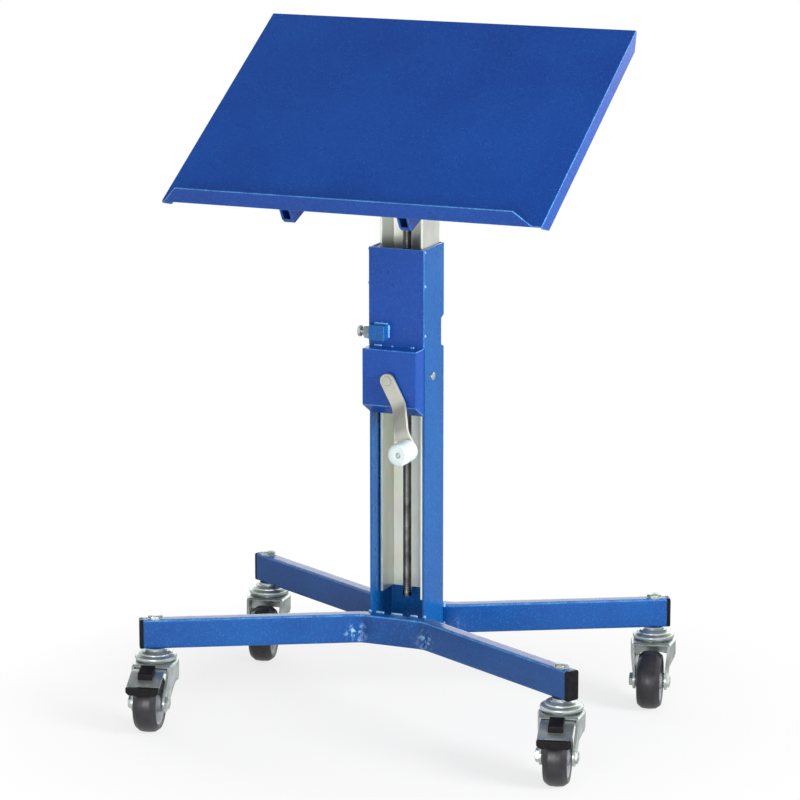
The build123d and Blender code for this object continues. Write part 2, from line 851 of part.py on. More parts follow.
def tooth_plane(axis_way, radial, along):
    """Plane across one tooth, at a distance along the pitch cone towards the apex."""
    pitch_point = apex - axis_way * gear_pitch_radius + radial * gear_pitch_radius
    inward = (axis_way - radial).normalized()
    return Plane(
        origin=pitch_point + inward * along,
        x_dir=axis_way.cross(radial) * -1,
        z_dir=inward,
    )


def tooth_points(scale):
    """Corners of one tooth's section, a trapezoid from below the root to the tip."""
    slope = tan(radians(gear_pressure_angle))
    half = gear_module * scale * (pi / 4 - gear_backlash_share / 2)
    low = -gear_module * scale * gear_low_share
    high = gear_module * scale
    low_half = half - low * slope
    high_half = half - high * slope
    return [(-low_half, low), (low_half, low), (high_half, high), (-high_half, high)]


def bevel_gear(axis_way, zero_radial, first_turn, bore, spigot_radius=0.0, spigot_length=0.0):
    """Gear blank turned about its axis, with teeth lofted towards the apex."""
    root = gear_module * gear_root_share / sqrt(2)
    pitch = gear_pitch_radius
    blank = Plane(origin=apex, x_dir=axis_way, z_dir=axis_way.cross(zero_radial))
    with BuildPart() as gear:
        with BuildSketch(blank):
            with BuildLine():
                Polyline(
                    (-pitch - gear_hub_length, bore),
                    (-pitch - gear_hub_length, gear_hub_radius),
                    (-pitch - root - gear_hub_length * gear_neck_share, gear_hub_radius),
                    (-pitch - root - gear_module / 2, pitch - root - gear_module / 2),
                    (-pitch - root, pitch - root),
                    (-(pitch + root) * small_end, (pitch - root) * small_end),
                    (-(pitch + root) * small_end, bore),
                    close=True,
                )
            make_face()
        revolve(axis=Axis(apex, axis_way))
        for tooth in range(gear_teeth):
            turn = first_turn + 360 / gear_teeth * tooth
            radial = zero_radial.rotate(Axis((0, 0, 0), axis_way), turn)
            for along, scale in ((0, 1), (gear_face, small_end)):
                with BuildSketch(tooth_plane(axis_way, radial, along)):
                    with BuildLine():
                        Polyline(*tooth_points(scale), close=True)
                    make_face()
            loft()
        if spigot_length:
            foot = apex - axis_way * (pitch + gear_hub_length)
            with BuildSketch(Plane(origin=foot, x_dir=zero_radial, z_dir=axis_way * -1)):
                Circle(spigot_radius)
                Circle(bore, mode=Mode.SUBTRACT)
            extrude(amount=spigot_length)
    return gear


crank_pinion = bevel_gear(Vector(0, 1, 0), Vector(0, 0, -1), 0, shaft_radius)
save(crank_pinion, "crank_pinion")
spindle_nut = bevel_gear(
    Vector(0, 0, 1),
    Vector(0, -1, 0),
    180 / gear_teeth,
    spindle_radius + running_gap,
    nut_spigot_radius,
    shelf_thickness + thrust_washer_height,
)
save(spindle_nut, "spindle_nut")

# Crank: shaft, cranked flat bar, turning grip on its shouldered bolt
shaft_inner_end = -gear_pitch_radius * small_end
with BuildPart() as crank_shaft:
    with BuildSketch(Plane(origin=(0, shaft_inner_end, crank_z), x_dir=(1, 0, 0), z_dir=(0, -1, 0))):
        Circle(shaft_radius)
    extrude(amount=shaft_inner_end - arm_back_y + crank_thickness)
save(crank_shaft, "crank_shaft")

with BuildPart() as crank_arm:
    side_view = Plane(
        origin=(0, arm_back_y, crank_z),
        x_dir=(crank_dx, 0, crank_dz),
        z_dir=(crank_dz, 0, -crank_dx),
    )
    with BuildSketch(side_view):
        with BuildLine() as bar_line:
            FilletPolyline(
                (-crank_width / 2, crank_thickness / 2),
                (crank_first_run, crank_thickness / 2),
                (crank_first_run + crank_slope_run, crank_thickness / 2 + crank_offset),
                (crank_radius + crank_width / 2, crank_thickness / 2 + crank_offset),
                radius=crank_bend,
            )
        trace(line_width=crank_thickness)
    extrude(amount=crank_width / 2, both=True)
    front_view = Plane(
        origin=(0, arm_back_y + overrun, crank_z), x_dir=(crank_dx, 0, crank_dz), z_dir=(0, -1, 0)
    )
    with BuildSketch(front_view):
        with Locations((crank_radius / 2, 0)):
            SlotCenterToCenter(crank_radius, crank_width)
        Circle(shaft_radius, mode=Mode.SUBTRACT)
        with Locations((crank_radius, 0)):
            Circle(grip_bolt_radius, mode=Mode.SUBTRACT)
    extrude(amount=crank_offset + crank_thickness + 2 * overrun, mode=Mode.INTERSECT)
save(crank_arm, "crank_arm")

grip_seat = Plane(origin=(grip_x, grip_y - grip_collar_height, grip_z), x_dir=(1, 0, 0), z_dir=(0, -1, 0))
with BuildPart() as crank_grip:
    with BuildSketch(grip_seat.offset(loose_gap)):
        Circle(grip_radius)
    extrude(amount=grip_length)
    fillet(crank_grip.edges().group_by(Axis.Y)[0], grip_front_rounding)
    fillet(crank_grip.edges().group_by(Axis.Y)[-1], grip_back_rounding)
    with BuildSketch(grip_seat):
        Circle(grip_bolt_radius + running_gap)
    extrude(amount=grip_length + overrun, mode=Mode.SUBTRACT)
    with BuildSketch(grip_seat.offset(loose_gap + grip_length)):
        Circle(grip_bolt_head_radius + loose_gap)
    extrude(amount=-grip_bolt_head_height - grip_recess - loose_gap, mode=Mode.SUBTRACT)
save(crank_grip, "crank_grip")

with BuildPart() as grip_bolt:
    with BuildSketch(grip_seat.offset(-grip_collar_height - crank_thickness)):
        Circle(grip_bolt_radius)
    extrude(amount=grip_length + loose_gap - grip_recess + grip_collar_height + crank_thickness)
    with BuildSketch(grip_seat.offset(-grip_collar_height)):
        Circle(grip_collar_radius)
    extrude(amount=grip_collar_height)
    with BuildSketch(grip_seat.offset(loose_gap + grip_length - grip_recess)):
        Circle(grip_bolt_head_radius)
    extrude(amount=-grip_bolt_head_height)
save(grip_bolt, "grip_bolt")

# Mast: a galvanised channel open to the front, its left flange shorter than its right one
with BuildPart() as mast:
    with BuildSketch(Plane.XY.offset(mast_bottom)) as section:
        with BuildLine():
            Polyline(
                (-mast_half, mast_back - mast_left_flange),
                (-mast_half, mast_back),
                (mast_half, mast_back),
                (mast_half, mast_front),
                (mast_half - mast_wall, mast_front),
                (mast_half - mast_wall, mast_back - mast_wall),
                (-mast_half + mast_wall, mast_back - mast_wall),
                (-mast_half + mast_wall, mast_back - mast_left_flange),
                close=True,
            )
        make_face()
        fillet(section.vertices().group_by(Axis.Y)[-1], mast_bend)
        inner_corners = section.vertices().filter_by(
            lambda v: abs(v.Y - mast_back + mast_wall) < running_gap
        )
        fillet(inner_corners, mast_bend - mast_wall)
    extrude(amount=mast_top - mast_bottom)
save(mast, "mast")

with BuildPart() as mast_head:
    with BuildSketch(Plane.XY.offset(mast_top)):
        with Locations((0, (mast_back + mast_front) / 2)):
            Rectangle(mast_width + 2 * ear_thickness, mast_depth)
    extrude(amount=head_plate)
    for side in (-1, 1):
        with BuildSketch(Plane.YZ.offset(side * (mast_half + ear_thickness / 2))):
            with Locations((0, (ear_bottom + mast_top + head_plate) / 2)):
                Rectangle(2 * ear_half_depth, mast_top + head_plate - ear_bottom)
            with Locations((0, pivot_z)):
                Circle(pivot_ear_radius)
            make_hull()
            with Locations((0, pivot_z)):
                Circle(pivot_radius, mode=Mode.SUBTRACT)
            if side > 0:
                with Locations((0, clamp_z)):
                    Circle(clamp_radius, mode=Mode.SUBTRACT)
        extrude(amount=ear_thickness / 2, both=True)
    with BuildSketch(Plane.XY.offset(mast_top - overrun)):
        Circle(spindle_radius)
    extrude(amount=head_plate + 2 * overrun, mode=Mode.SUBTRACT)
save(mast_head, "mast_head")

with BuildPart() as spindle:
    with BuildSketch(Plane.XY.offset(spindle_bottom)):
        Circle(spindle_radius)
    extrude(amount=mast_top + head_plate - spindle_bottom)
    fillet(spindle.edges().group_by(Axis.Z)[0], spindle_end_rounding)
save(spindle, "spindle")

with BuildPart() as spindle_lock_nut:
    with BuildSketch(Plane.XY.offset(mast_top)):
        RegularPolygon(spindle_nut_flats / 2, 6, major_radius=False)
        Circle(spindle_radius, mode=Mode.SUBTRACT)
    extrude(amount=-spindle_nut_height)
save(spindle_lock_nut, "spindle_lock_nut")

# Tilt pivot: one shaft through the mast head and both table arms
pivot_left = arm_left_x - arm_width / 2 - loose_gap
pivot_right = arm_right_x + arm_width / 2 + loose_gap
with BuildPart() as pivot_shaft:
    with BuildSketch(Plane.YZ.offset(pivot_left)):
        with Locations((0, pivot_z)):
            Circle(pivot_radius)
    extrude(amount=pivot_right - pivot_left)
    for side, head_x in ((-1, pivot_left), (1, pivot_right)):
        with BuildSketch(Plane(origin=(head_x, 0, pivot_z), x_dir=(0, 1, 0), z_dir=(side, 0, 0))):
            Circle(pivot_head_radius)
        extrude(amount=pivot_head_height)
save(pivot_shaft, "pivot_shaft")


def sector_point(angle, radius):
    """Point in the table's side view, by its angle about the pivot."""
    return (radius * cos(radians(angle)), pivot_z + radius * sin(radians(angle)))


slot_start = down_angle - (tilt_steep - tilt_at_rest)
slot_end = down_angle + (tilt_at_rest - tilt_flat)
with BuildPart() as tilt_quadrant:
    with BuildSketch(Plane.YZ.offset(quadrant_x)):
        with Locations((0, pivot_z)):
            Circle(quadrant_hub_radius)
        rim = quadrant_slot_radius + quadrant_rim
        with BuildLine():
            start = sector_point(slot_start - quadrant_end_angle, rim)
            middle = sector_point((slot_start + slot_end) / 2, rim)
            end = sector_point(slot_end + quadrant_end_angle, rim)
            ThreePointArc(start, middle, end)
            Polyline(end, sector_point(0, quadrant_hub_radius), sector_point(180, quadrant_hub_radius), start)
        make_face()
        with Locations((0, pivot_z)):
            Circle(pivot_radius + running_gap, mode=Mode.SUBTRACT)
        slot_half = clamp_radius + clamp_slot_gap
        with BuildLine():
            slot_path = ThreePointArc(
                sector_point(slot_start, quadrant_slot_radius),
                sector_point((slot_start + slot_end) / 2, quadrant_slot_radius),
                sector_point(slot_end, quadrant_slot_radius),
            )
        SlotArc(arc=slot_path, height=2 * slot_half, mode=Mode.SUBTRACT)
    extrude(amount=quadrant_thickness)
save(tilt_quadrant, "tilt_quadrant")

with BuildPart() as clamp_spacer:
    with BuildSketch(Plane.YZ.offset(ear_outer)):
        with Locations((0, clamp_z)):
            Circle(clamp_spacer_radius)
            Circle(clamp_radius + running_gap, mode=Mode.SUBTRACT)
    extrude(amount=quadrant_x - ear_outer - loose_gap)
save(clamp_spacer, "clamp_spacer")

lever_x = quadrant_x + quadrant_thickness + loose_gap
with BuildPart() as clamp_stud:
    with BuildSketch(Plane.YZ.offset(mast_half)):
        with Locations((0, clamp_z)):
            Circle(clamp_radius)
    extrude(amount=lever_x + lever_washer + lever_hub_length + clamp_end - mast_half)
save(clamp_stud, "clamp_stud")

with BuildPart() as clamp_washer:
    with BuildSketch(Plane.YZ.offset(lever_x)):
        with Locations((0, clamp_z)):
            Circle(lever_hub_radius)
            Circle(clamp_radius + running_gap, mode=Mode.SUBTRACT)
    extrude(amount=lever_washer)
save(clamp_washer, "clamp_washer")

lever_start_x = lever_x + lever_washer + loose_gap
lever_middle = lever_start_x + lever_hub_length / 2
with BuildPart() as clamp_lever:
    with BuildSketch(Plane.YZ.offset(lever_start_x)):
        with Locations((0, clamp_z)):
            Circle(lever_hub_radius)
    extrude(amount=lever_hub_length)
    fillet(clamp_lever.edges().group_by(Axis.X)[-1], lever_washer)
    lever_way = Vector(0, cos(radians(lever_angle)), sin(radians(lever_angle)))
    lever_root = Plane(origin=(lever_middle, 0, clamp_z), x_dir=(1, 0, 0), z_dir=lever_way)
    with BuildSketch(lever_root):
        Circle(lever_root_radius)
    with BuildSketch(lever_root.offset(lever_length)):
        Circle(lever_tip_radius)
    loft()
    with BuildSketch(Plane.YZ.offset(lever_start_x - overrun)):
        with Locations((0, clamp_z)):
            Circle(clamp_radius + running_gap)
    extrude(amount=lever_hub_length + 2 * overrun, mode=Mode.SUBTRACT)
save(clamp_lever, "clamp_lever")

knob_centre = lever_root.offset(lever_length + lever_knob_radius - lever_washer)
with BuildPart(knob_centre) as lever_knob:
    Sphere(lever_knob_radius)
    with BuildSketch(lever_root.offset(lever_length)):
        Circle(lever_tip_radius + running_gap)
    extrude(amount=-lever_knob_radius, mode=Mode.SUBTRACT)
save(lever_knob, "lever_knob")

# Table tray: one folded sheet; sides and back turned down, front lip turned up
half_width = table_width / 2
half_length = table_length / 2
with BuildPart() as table_tray:
    with BuildSketch(table_plane):
        Rectangle(table_width, table_length)
    extrude(amount=-table_sheet)
    across = Plane(
        origin=table_plane.from_local_coords(Vector(-half_width, 0, 0)),
        x_dir=table_plane.y_dir,
        z_dir=(1, 0, 0),
    )
    for side_x in (-half_width, half_width - table_sheet):
        with BuildSketch(across.offset(side_x + half_width)):
            with BuildLine():
                Polyline(
                    (-half_length, 0),
                    (half_length, 0),
                    (half_length, -table_bend),
                    (half_length - flange_corner, -flange_height),
                    (-half_length + flange_corner, -flange_height),
                    (-half_length, -table_bend),
                    close=True,
                )
            make_face()
        extrude(amount=table_sheet)
    back = Plane(
        origin=table_plane.from_local_coords(Vector(0, half_length, 0)),
        x_dir=(-1, 0, 0),
        z_dir=table_plane.y_dir,
    )
    with BuildSketch(back):
        with BuildLine():
            Polyline(
                (-half_width, 0),
                (half_width, 0),
                (half_width, -table_bend),
                (half_width - flange_corner, -flange_height),
                (-half_width + flange_corner, -flange_height),
                (-half_width, -table_bend),
                close=True,
            )
        make_face()
    extrude(amount=-table_sheet)
    front = Plane(
        origin=table_plane.from_local_coords(Vector(0, -half_length, 0)),
        x_dir=(1, 0, 0),
        z_dir=table_plane.y_dir * -1,
    )
    with BuildSketch(front):
        with BuildLine():
            Polyline(
                (-half_width + lip_left_inset, -table_sheet),
                (half_width - lip_right_inset, -table_sheet),
                (half_width - lip_right_inset, 0),
                (half_width - lip_right_inset - lip_height + table_sheet, lip_height),
                (-half_width + lip_left_inset + lip_height - table_sheet, lip_height),
                (-half_width + lip_left_inset, 0),
                close=True,
            )
        make_face()
    extrude(amount=-table_sheet)
save(table_tray, "table_tray")


# Table arms: hat-shaped rails under the tray, deepest at the pivot
def table_arm(centre):
    front_end = -half_length + arm_front_inset + table_sheet
    rear_end = half_length - arm_rear_inset
    rail = Plane(
        origin=table_plane.from_local_coords(Vector(centre, 0, -table_sheet)),
        x_dir=table_plane.y_dir,
        z_dir=(1, 0, 0),
    )
    outline = [
        (front_end, 0),
        (front_end, table_sheet - arm_front_depth),
        (front_end + arm_front_step, table_sheet - arm_shoulder_depth),
        (-arm_middle_half, table_sheet - arm_middle_depth),
        (arm_middle_half, table_sheet - arm_middle_depth),
        (rear_end, table_sheet - arm_rear_depth),
        (rear_end, 0),
    ]
    with BuildPart() as arm:
        with BuildSketch(rail):
            with BuildLine():
                Polyline(*outline, close=True)
            make_face()
        extrude(amount=arm_width / 2, both=True)
        with BuildSketch(rail) as hollow:
            with BuildLine():
                Polyline(
                    (front_end - overrun, 0),
                    (front_end - overrun, table_sheet - arm_front_depth + arm_wall),
                    (front_end + arm_front_step, table_sheet - arm_shoulder_depth + arm_wall),
                    (-arm_middle_half, table_sheet - arm_middle_depth + arm_wall),
                    (arm_middle_half, table_sheet - arm_middle_depth + arm_wall),
                    (rear_end + overrun, table_sheet - arm_rear_depth + arm_wall),
                    (rear_end + overrun, 0),
                    close=True,
                )
            make_face()
        extrude(amount=arm_width / 2 - arm_wall, both=True, mode=Mode.SUBTRACT)
        under_sheet = table_plane.offset(-table_sheet)
        with BuildSketch(under_sheet):
            for edge in (-1, 1):
                with Locations((centre + edge * (arm_width + arm_flange) / 2, (front_end + rear_end) / 2)):
                    Rectangle(arm_flange, rear_end - front_end)
        extrude(amount=-arm_wall)
        with BuildSketch(Plane.YZ.offset(centre - arm_width)):
            with Locations((0, pivot_z)):
                Circle(pivot_radius + running_gap)
        extrude(amount=2 * arm_width, mode=Mode.SUBTRACT)
    return arm


save(table_arm(arm_left_x), "left_table_arm")
save(table_arm(arm_right_x), "right_table_arm")
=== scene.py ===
import json
import math

import bmesh
import bpy
import numpy as np
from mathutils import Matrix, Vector


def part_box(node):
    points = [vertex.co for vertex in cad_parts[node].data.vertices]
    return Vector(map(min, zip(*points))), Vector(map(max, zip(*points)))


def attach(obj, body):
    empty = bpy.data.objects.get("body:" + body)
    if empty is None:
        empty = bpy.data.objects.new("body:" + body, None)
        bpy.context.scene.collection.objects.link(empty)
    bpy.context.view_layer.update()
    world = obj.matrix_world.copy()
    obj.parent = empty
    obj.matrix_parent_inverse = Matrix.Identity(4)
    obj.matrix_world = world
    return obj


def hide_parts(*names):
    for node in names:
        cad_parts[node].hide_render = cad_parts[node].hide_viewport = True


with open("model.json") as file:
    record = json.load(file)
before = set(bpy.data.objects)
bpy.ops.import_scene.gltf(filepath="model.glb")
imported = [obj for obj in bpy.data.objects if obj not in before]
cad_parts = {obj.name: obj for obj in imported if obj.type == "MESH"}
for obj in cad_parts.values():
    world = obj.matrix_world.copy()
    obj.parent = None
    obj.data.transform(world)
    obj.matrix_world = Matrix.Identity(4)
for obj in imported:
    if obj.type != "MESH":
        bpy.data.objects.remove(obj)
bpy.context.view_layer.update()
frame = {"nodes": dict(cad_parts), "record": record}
nodes = frame["nodes"]
slotOf = {row["node"]: row["material_slot"] for row in frame["record"]["subparts"]}
bodyOf = {n: b for b, members in frame["record"]["behaviour"]["bodies"].items() for n in members}
print("stage: frame loaded,", len(nodes), "nodes")


# Links a new object to the scene
def placed(item):
    bpy.context.scene.collection.objects.link(item)
    return item


# Camera at the photograph's viewing angle, fitted to the object's corners
cameraView = {
    "place": (1.82737, -4.33083, 1.47547), "azimuth": 22.9985, "dip": 12.4616,
    "lens": 160.731, "sensor": 36.0, "near": 0.1, "far": 60.0,
}


# Its pitch is a right angle less the dip, and its heading is the azimuth
def addCamera():
    view = cameraView
    data = bpy.data.cameras.new("viewCamera")
    data.lens = view["lens"]
    data.sensor_width = view["sensor"]
    data.clip_start = view["near"]
    data.clip_end = view["far"]
    camera = placed(bpy.data.objects.new("viewCamera", data))
    camera.location = view["place"]
    camera.rotation_euler = (math.radians(90.0 - view["dip"]), 0.0, math.radians(view["azimuth"]))
    bpy.context.scene.camera = camera


# Soft round lamps. The key and the left one light the object without being mirrored in it.
lamps = {
    "key": {"place": (4.7, -1.2, 1.9), "size": 2.4, "power": 330.0, "glossy": False},
    "fill": {"place": (0.5, -5.1, 0.6), "size": 2.4, "power": 98.0, "glossy": True},
    "strip": {"place": (3.2, -3.6, 2.3), "size": 1.2, "power": 8.0, "glossy": True},
    "left": {"place": (-4.6, 1.6, 1.8), "size": 3.0, "power": 34.0, "glossy": False},
}
lampTarget = (0.0, 0.0, 0.45)


# A lamp looks down its own -Z, along the target less its place
def addLamp(name, place, size, power, glossy):
    data = bpy.data.lights.new(name, "AREA")
    data.shape = "DISK"
    data.size = size
    data.energy = power
    lamp = placed(bpy.data.objects.new(name, data))
    lamp.location = place
    lamp.visible_glossy = glossy
    lamp.rotation_euler = (Vector(lampTarget) - Vector(place)).to_track_quat("-Z", "Y").to_euler()


# A straight scale: what lies between fromLow and fromHigh goes to the same share of toLow to toHigh
def ranged(tree, source, fromLow, fromHigh, toLow, toHigh):
    made = tree.nodes.new("ShaderNodeMapRange")
    ends = {"From Min": fromLow, "From Max": fromHigh, "To Min": toLow, "To Max": toHigh}
    for socket, value in ends.items():
        made.inputs[socket].default_value = value
    tree.links.new(source, made.inputs["Value"])
    return made.outputs["Result"]


# Two values put together, as their product or the larger of them
def combined(tree, how, first, second):
    made = tree.nodes.new("ShaderNodeMath")
    made.operation = how
    tree.links.new(first, made.inputs[0])
    tree.links.new(second, made.inputs[1])
    return made.outputs[0]


# Studio walls, as strengths of white light
studio = {
    "level": 0.43,  # to all rays but the camera's and glossy ones
    "horizon": 1.0, "ceiling": 0.16, "wallTop": 0.34, "ceilingFrom": 0.62,
    "behind": 2.2, "behindFrom": 0.10, "behindFull": 0.65,
}


# The backdrop is white to the camera. Glossy rays see walls that darken towards the ceiling and are
# brighter behind the object: strength by height * strength by depth. All other rays see an even grey.
def addWorld():
    s = studio
    world = bpy.data.worlds.new("studio")
    world.use_nodes = True
    tree = world.node_tree
    back = tree.nodes["Background"]
    back.inputs["Color"].default_value = (1.0, 1.0, 1.0, 1.0)
    path = tree.nodes.new("ShaderNodeLightPath")
    way = tree.nodes.new("ShaderNodeTexCoord")
    parts = tree.nodes.new("ShaderNodeSeparateXYZ")
    tree.links.new(way.outputs["Generated"], parts.inputs[0])
    walls = ranged(tree, parts.outputs["Z"], s["wallTop"], s["ceilingFrom"], s["horizon"], s["ceiling"])
    behind = ranged(tree, parts.outputs["Y"], s["behindFrom"], s["behindFull"], s["horizon"], s["behind"])
    glossy = tree.nodes.new("ShaderNodeMix")
    glossy.inputs["A"].default_value = s["level"]
    tree.links.new(path.outputs["Is Glossy Ray"], glossy.inputs["Factor"])
    tree.links.new(combined(tree, "MULTIPLY", walls, behind), glossy.inputs["B"])
    seen = tree.nodes.new("ShaderNodeMix")
    seen.inputs["B"].default_value = 1.0
    tree.links.new(path.outputs["Is Camera Ray"], seen.inputs["Factor"])
    tree.links.new(glossy.outputs["Result"], seen.inputs["A"])
    tree.links.new(seen.outputs["Result"], back.inputs["Strength"])
    bpy.context.scene.world = world


# A matte floor a little under the wheels, with a glow of its own
floorLook = {
    "size": 14.0, "shade": 0.86, "drop": 0.0005,
    "nearShow": 0.74, "nearRadius": 0.34, "farRadius": 0.62,  # the glow's share, by distance
    "glossyFront": 1.0, "glossyBack": 0.38, "frontY": -0.8, "backY": 0.5,  # its strength in reflections
}


# To camera and glossy rays the floor is matte * (1 - share) + glow * share. The share grows with the
# distance, so that the object's shadow shows close to it and the floor is white further away.
def addFloor():
    look = floorLook
    half = look["size"] / 2
    z = -look["drop"]
    mesh = bpy.data.meshes.new("floor")
    corners = [(-half, -half, z), (half, -half, z), (half, half, z), (-half, half, z)]
    mesh.from_pydata(corners, [], [(0, 1, 2, 3)])
    floor = placed(bpy.data.objects.new("floor", mesh))
    material = bpy.data.materials.new("paleFloor")
    material.use_nodes = True
    tree = material.node_tree
    tree.nodes.clear()
    out = tree.nodes.new("ShaderNodeOutputMaterial")
    matte = tree.nodes.new("ShaderNodeBsdfDiffuse")
    matte.inputs["Color"].default_value = (look["shade"],) * 3 + (1.0,)
    glow = tree.nodes.new("ShaderNodeEmission")
    path = tree.nodes.new("ShaderNodeLightPath")
    place = tree.nodes.new("ShaderNodeTexCoord")
    parts = tree.nodes.new("ShaderNodeSeparateXYZ")
    tree.links.new(place.outputs["Object"], parts.inputs[0])
    glossy = ranged(
        tree, parts.outputs["Y"], look["frontY"], look["backY"], look["glossyFront"], look["glossyBack"]
    )
    strength = combined(tree, "MAXIMUM", path.outputs["Is Camera Ray"], glossy)
    tree.links.new(strength, glow.inputs["Strength"])
    away = tree.nodes.new("ShaderNodeVectorMath")
    away.operation = "LENGTH"
    tree.links.new(place.outputs["Object"], away.inputs[0])
    distance = away.outputs["Value"]
    show = ranged(tree, distance, look["nearRadius"], look["farRadius"], look["nearShow"], 1.0)
    seen = combined(tree, "MAXIMUM", path.outputs["Is Camera Ray"], path.outputs["Is Glossy Ray"])
    mix = tree.nodes.new("ShaderNodeMixShader")
    tree.links.new(combined(tree, "MULTIPLY", seen, show), mix.inputs[0])
    tree.links.new(matte.outputs[0], mix.inputs[1])
    tree.links.new(glow.outputs[0], mix.inputs[2])
    tree.links.new(mix.outputs[0], out.inputs[0])
    mesh.materials.append(material)


addCamera()
for lampName, lamp in lamps.items():
    addLamp(lampName + "Lamp", **lamp)
addWorld()
addFloor()
bpy.context.scene.view_settings.view_transform = "Standard"
print("stage: camera, lamps and floor")


# A finish is a Principled shader whose colour, roughness and bump come from noise on Object coordinates
class Finish:
    # Starts as one colour, so that a plain view shows it too
    def __init__(self, name, color, metallic, roughness):
        self.material = bpy.data.materials.new(name)
        self.material.use_nodes = True
        self.material.diffuse_color = (*color, 1.0)
        self.tree = self.material.node_tree
        self.shader = self.tree.nodes["Principled BSDF"]
        self.shader.inputs["Base Color"].default_value = (*color, 1.0)
        self.shader.inputs["Metallic"].default_value = metallic
        self.shader.inputs["Roughness"].default_value = roughness
        self.place = self.tree.nodes.new("ShaderNodeTexCoord").outputs["Object"]

    # Coordinates times a scale on each axis: a small scale draws a pattern out along that axis
    def stretched(self, scale):
        mapping = self.tree.nodes.new("ShaderNodeMapping")
        mapping.inputs["Scale"].default_value = scale
        self.tree.links.new(self.place, mapping.inputs["Vector"])
        return mapping.outputs[0]

    # Soft noise about 0.5, finer with a larger scale
    def noise(self, scale, detail=3.0, roughness=0.5, place=None):
        made = self.tree.nodes.new("ShaderNodeTexNoise")
        made.inputs["Scale"].default_value = scale
        made.inputs["Detail"].default_value = detail
        made.inputs["Roughness"].default_value = roughness
        self.tree.links.new(place or self.place, made.inputs["Vector"])
        return made.outputs["Fac"]

    # Cells of one colour each, as crystals have
    def cells(self, scale, place):
        made = self.tree.nodes.new("ShaderNodeTexVoronoi")
        made.inputs["Scale"].default_value = scale
        self.tree.links.new(place, made.inputs["Vector"])
        return made.outputs["Color"]

    # Noise between lowAt and highAt, carried to low to high
    def span(self, source, low, high, lowAt=0.3, highAt=0.7):
        return ranged(self.tree, source, lowAt, highAt, low, high)

    # Noise turned to colour by stops of (place, colour), straight in between
    def ramp(self, source, stops):
        made = self.tree.nodes.new("ShaderNodeValToRGB")
        bar = made.color_ramp
        while len(bar.elements) < len(stops):
            bar.elements.new(0.5)
        for element, (at, color) in zip(bar.elements, stops):
            element.position = at
            element.color = (*color, 1.0)
        self.tree.links.new(source, made.inputs["Fac"])
        return made.outputs["Color"]

    # Painted highlight at the tube bends: cloudy spots round four mirrored places: noise * a share that
    # falls from 1 to 0 with the distance of (|x|, |y|, z) from the place
    def pinchHighlightMask(self, look):
        made = {how: self.tree.nodes.new("ShaderNodeVectorMath") for how in ("ABSOLUTE", "DISTANCE")}
        for how, node in made.items():
            node.operation = how
        made["DISTANCE"].inputs[1].default_value = look["pinch"]
        self.tree.links.new(self.place, made["ABSOLUTE"].inputs[0])
        self.tree.links.new(made["ABSOLUTE"].outputs["Vector"], made["DISTANCE"].inputs[0])
        distance = made["DISTANCE"].outputs["Value"]
        near = self.span(distance, 1.0, 0.0, look["pinchCore"], look["pinchReach"])
        cloud = self.span(self.noise(look["pinchNoise"]), 0.0, 1.0, look["pinchFrom"], look["pinchFull"])
        return combined(self.tree, "MULTIPLY", near, cloud)

    # First colour * (1 - factor) + second colour * factor, or another way of blending
    def blend(self, factor, first, second, how="MIX"):
        made = self.tree.nodes.new("ShaderNodeMix")
        made.data_type = "RGBA"
        made.blend_type = how
        colors = [s for s in made.inputs if s.type == "RGBA"]
        for socket, value in zip([made.inputs[0], *colors], (factor, first, second)):
            if isinstance(value, bpy.types.NodeSocket):
                self.tree.links.new(value, socket)
            else:
                socket.default_value = (*value, 1.0) if isinstance(value, tuple) else value
        return [s for s in made.outputs if s.type == "RGBA"][0]

    # The surface's colour is the source's
    def color(self, source):
        self.tree.links.new(source, self.shader.inputs["Base Color"])

    # The surface's roughness is the source's
    def rough(self, source):
        self.tree.links.new(source, self.shader.inputs["Roughness"])

    # The normal tilts with the slope of the source
    def bump(self, source, strength, distance):
        made = self.tree.nodes.new("ShaderNodeBump")
        made.inputs["Strength"].default_value = strength
        made.inputs["Distance"].default_value = distance
        self.tree.links.new(source, made.inputs["Height"])
        self.tree.links.new(made.outputs[0], self.shader.inputs["Normal"])
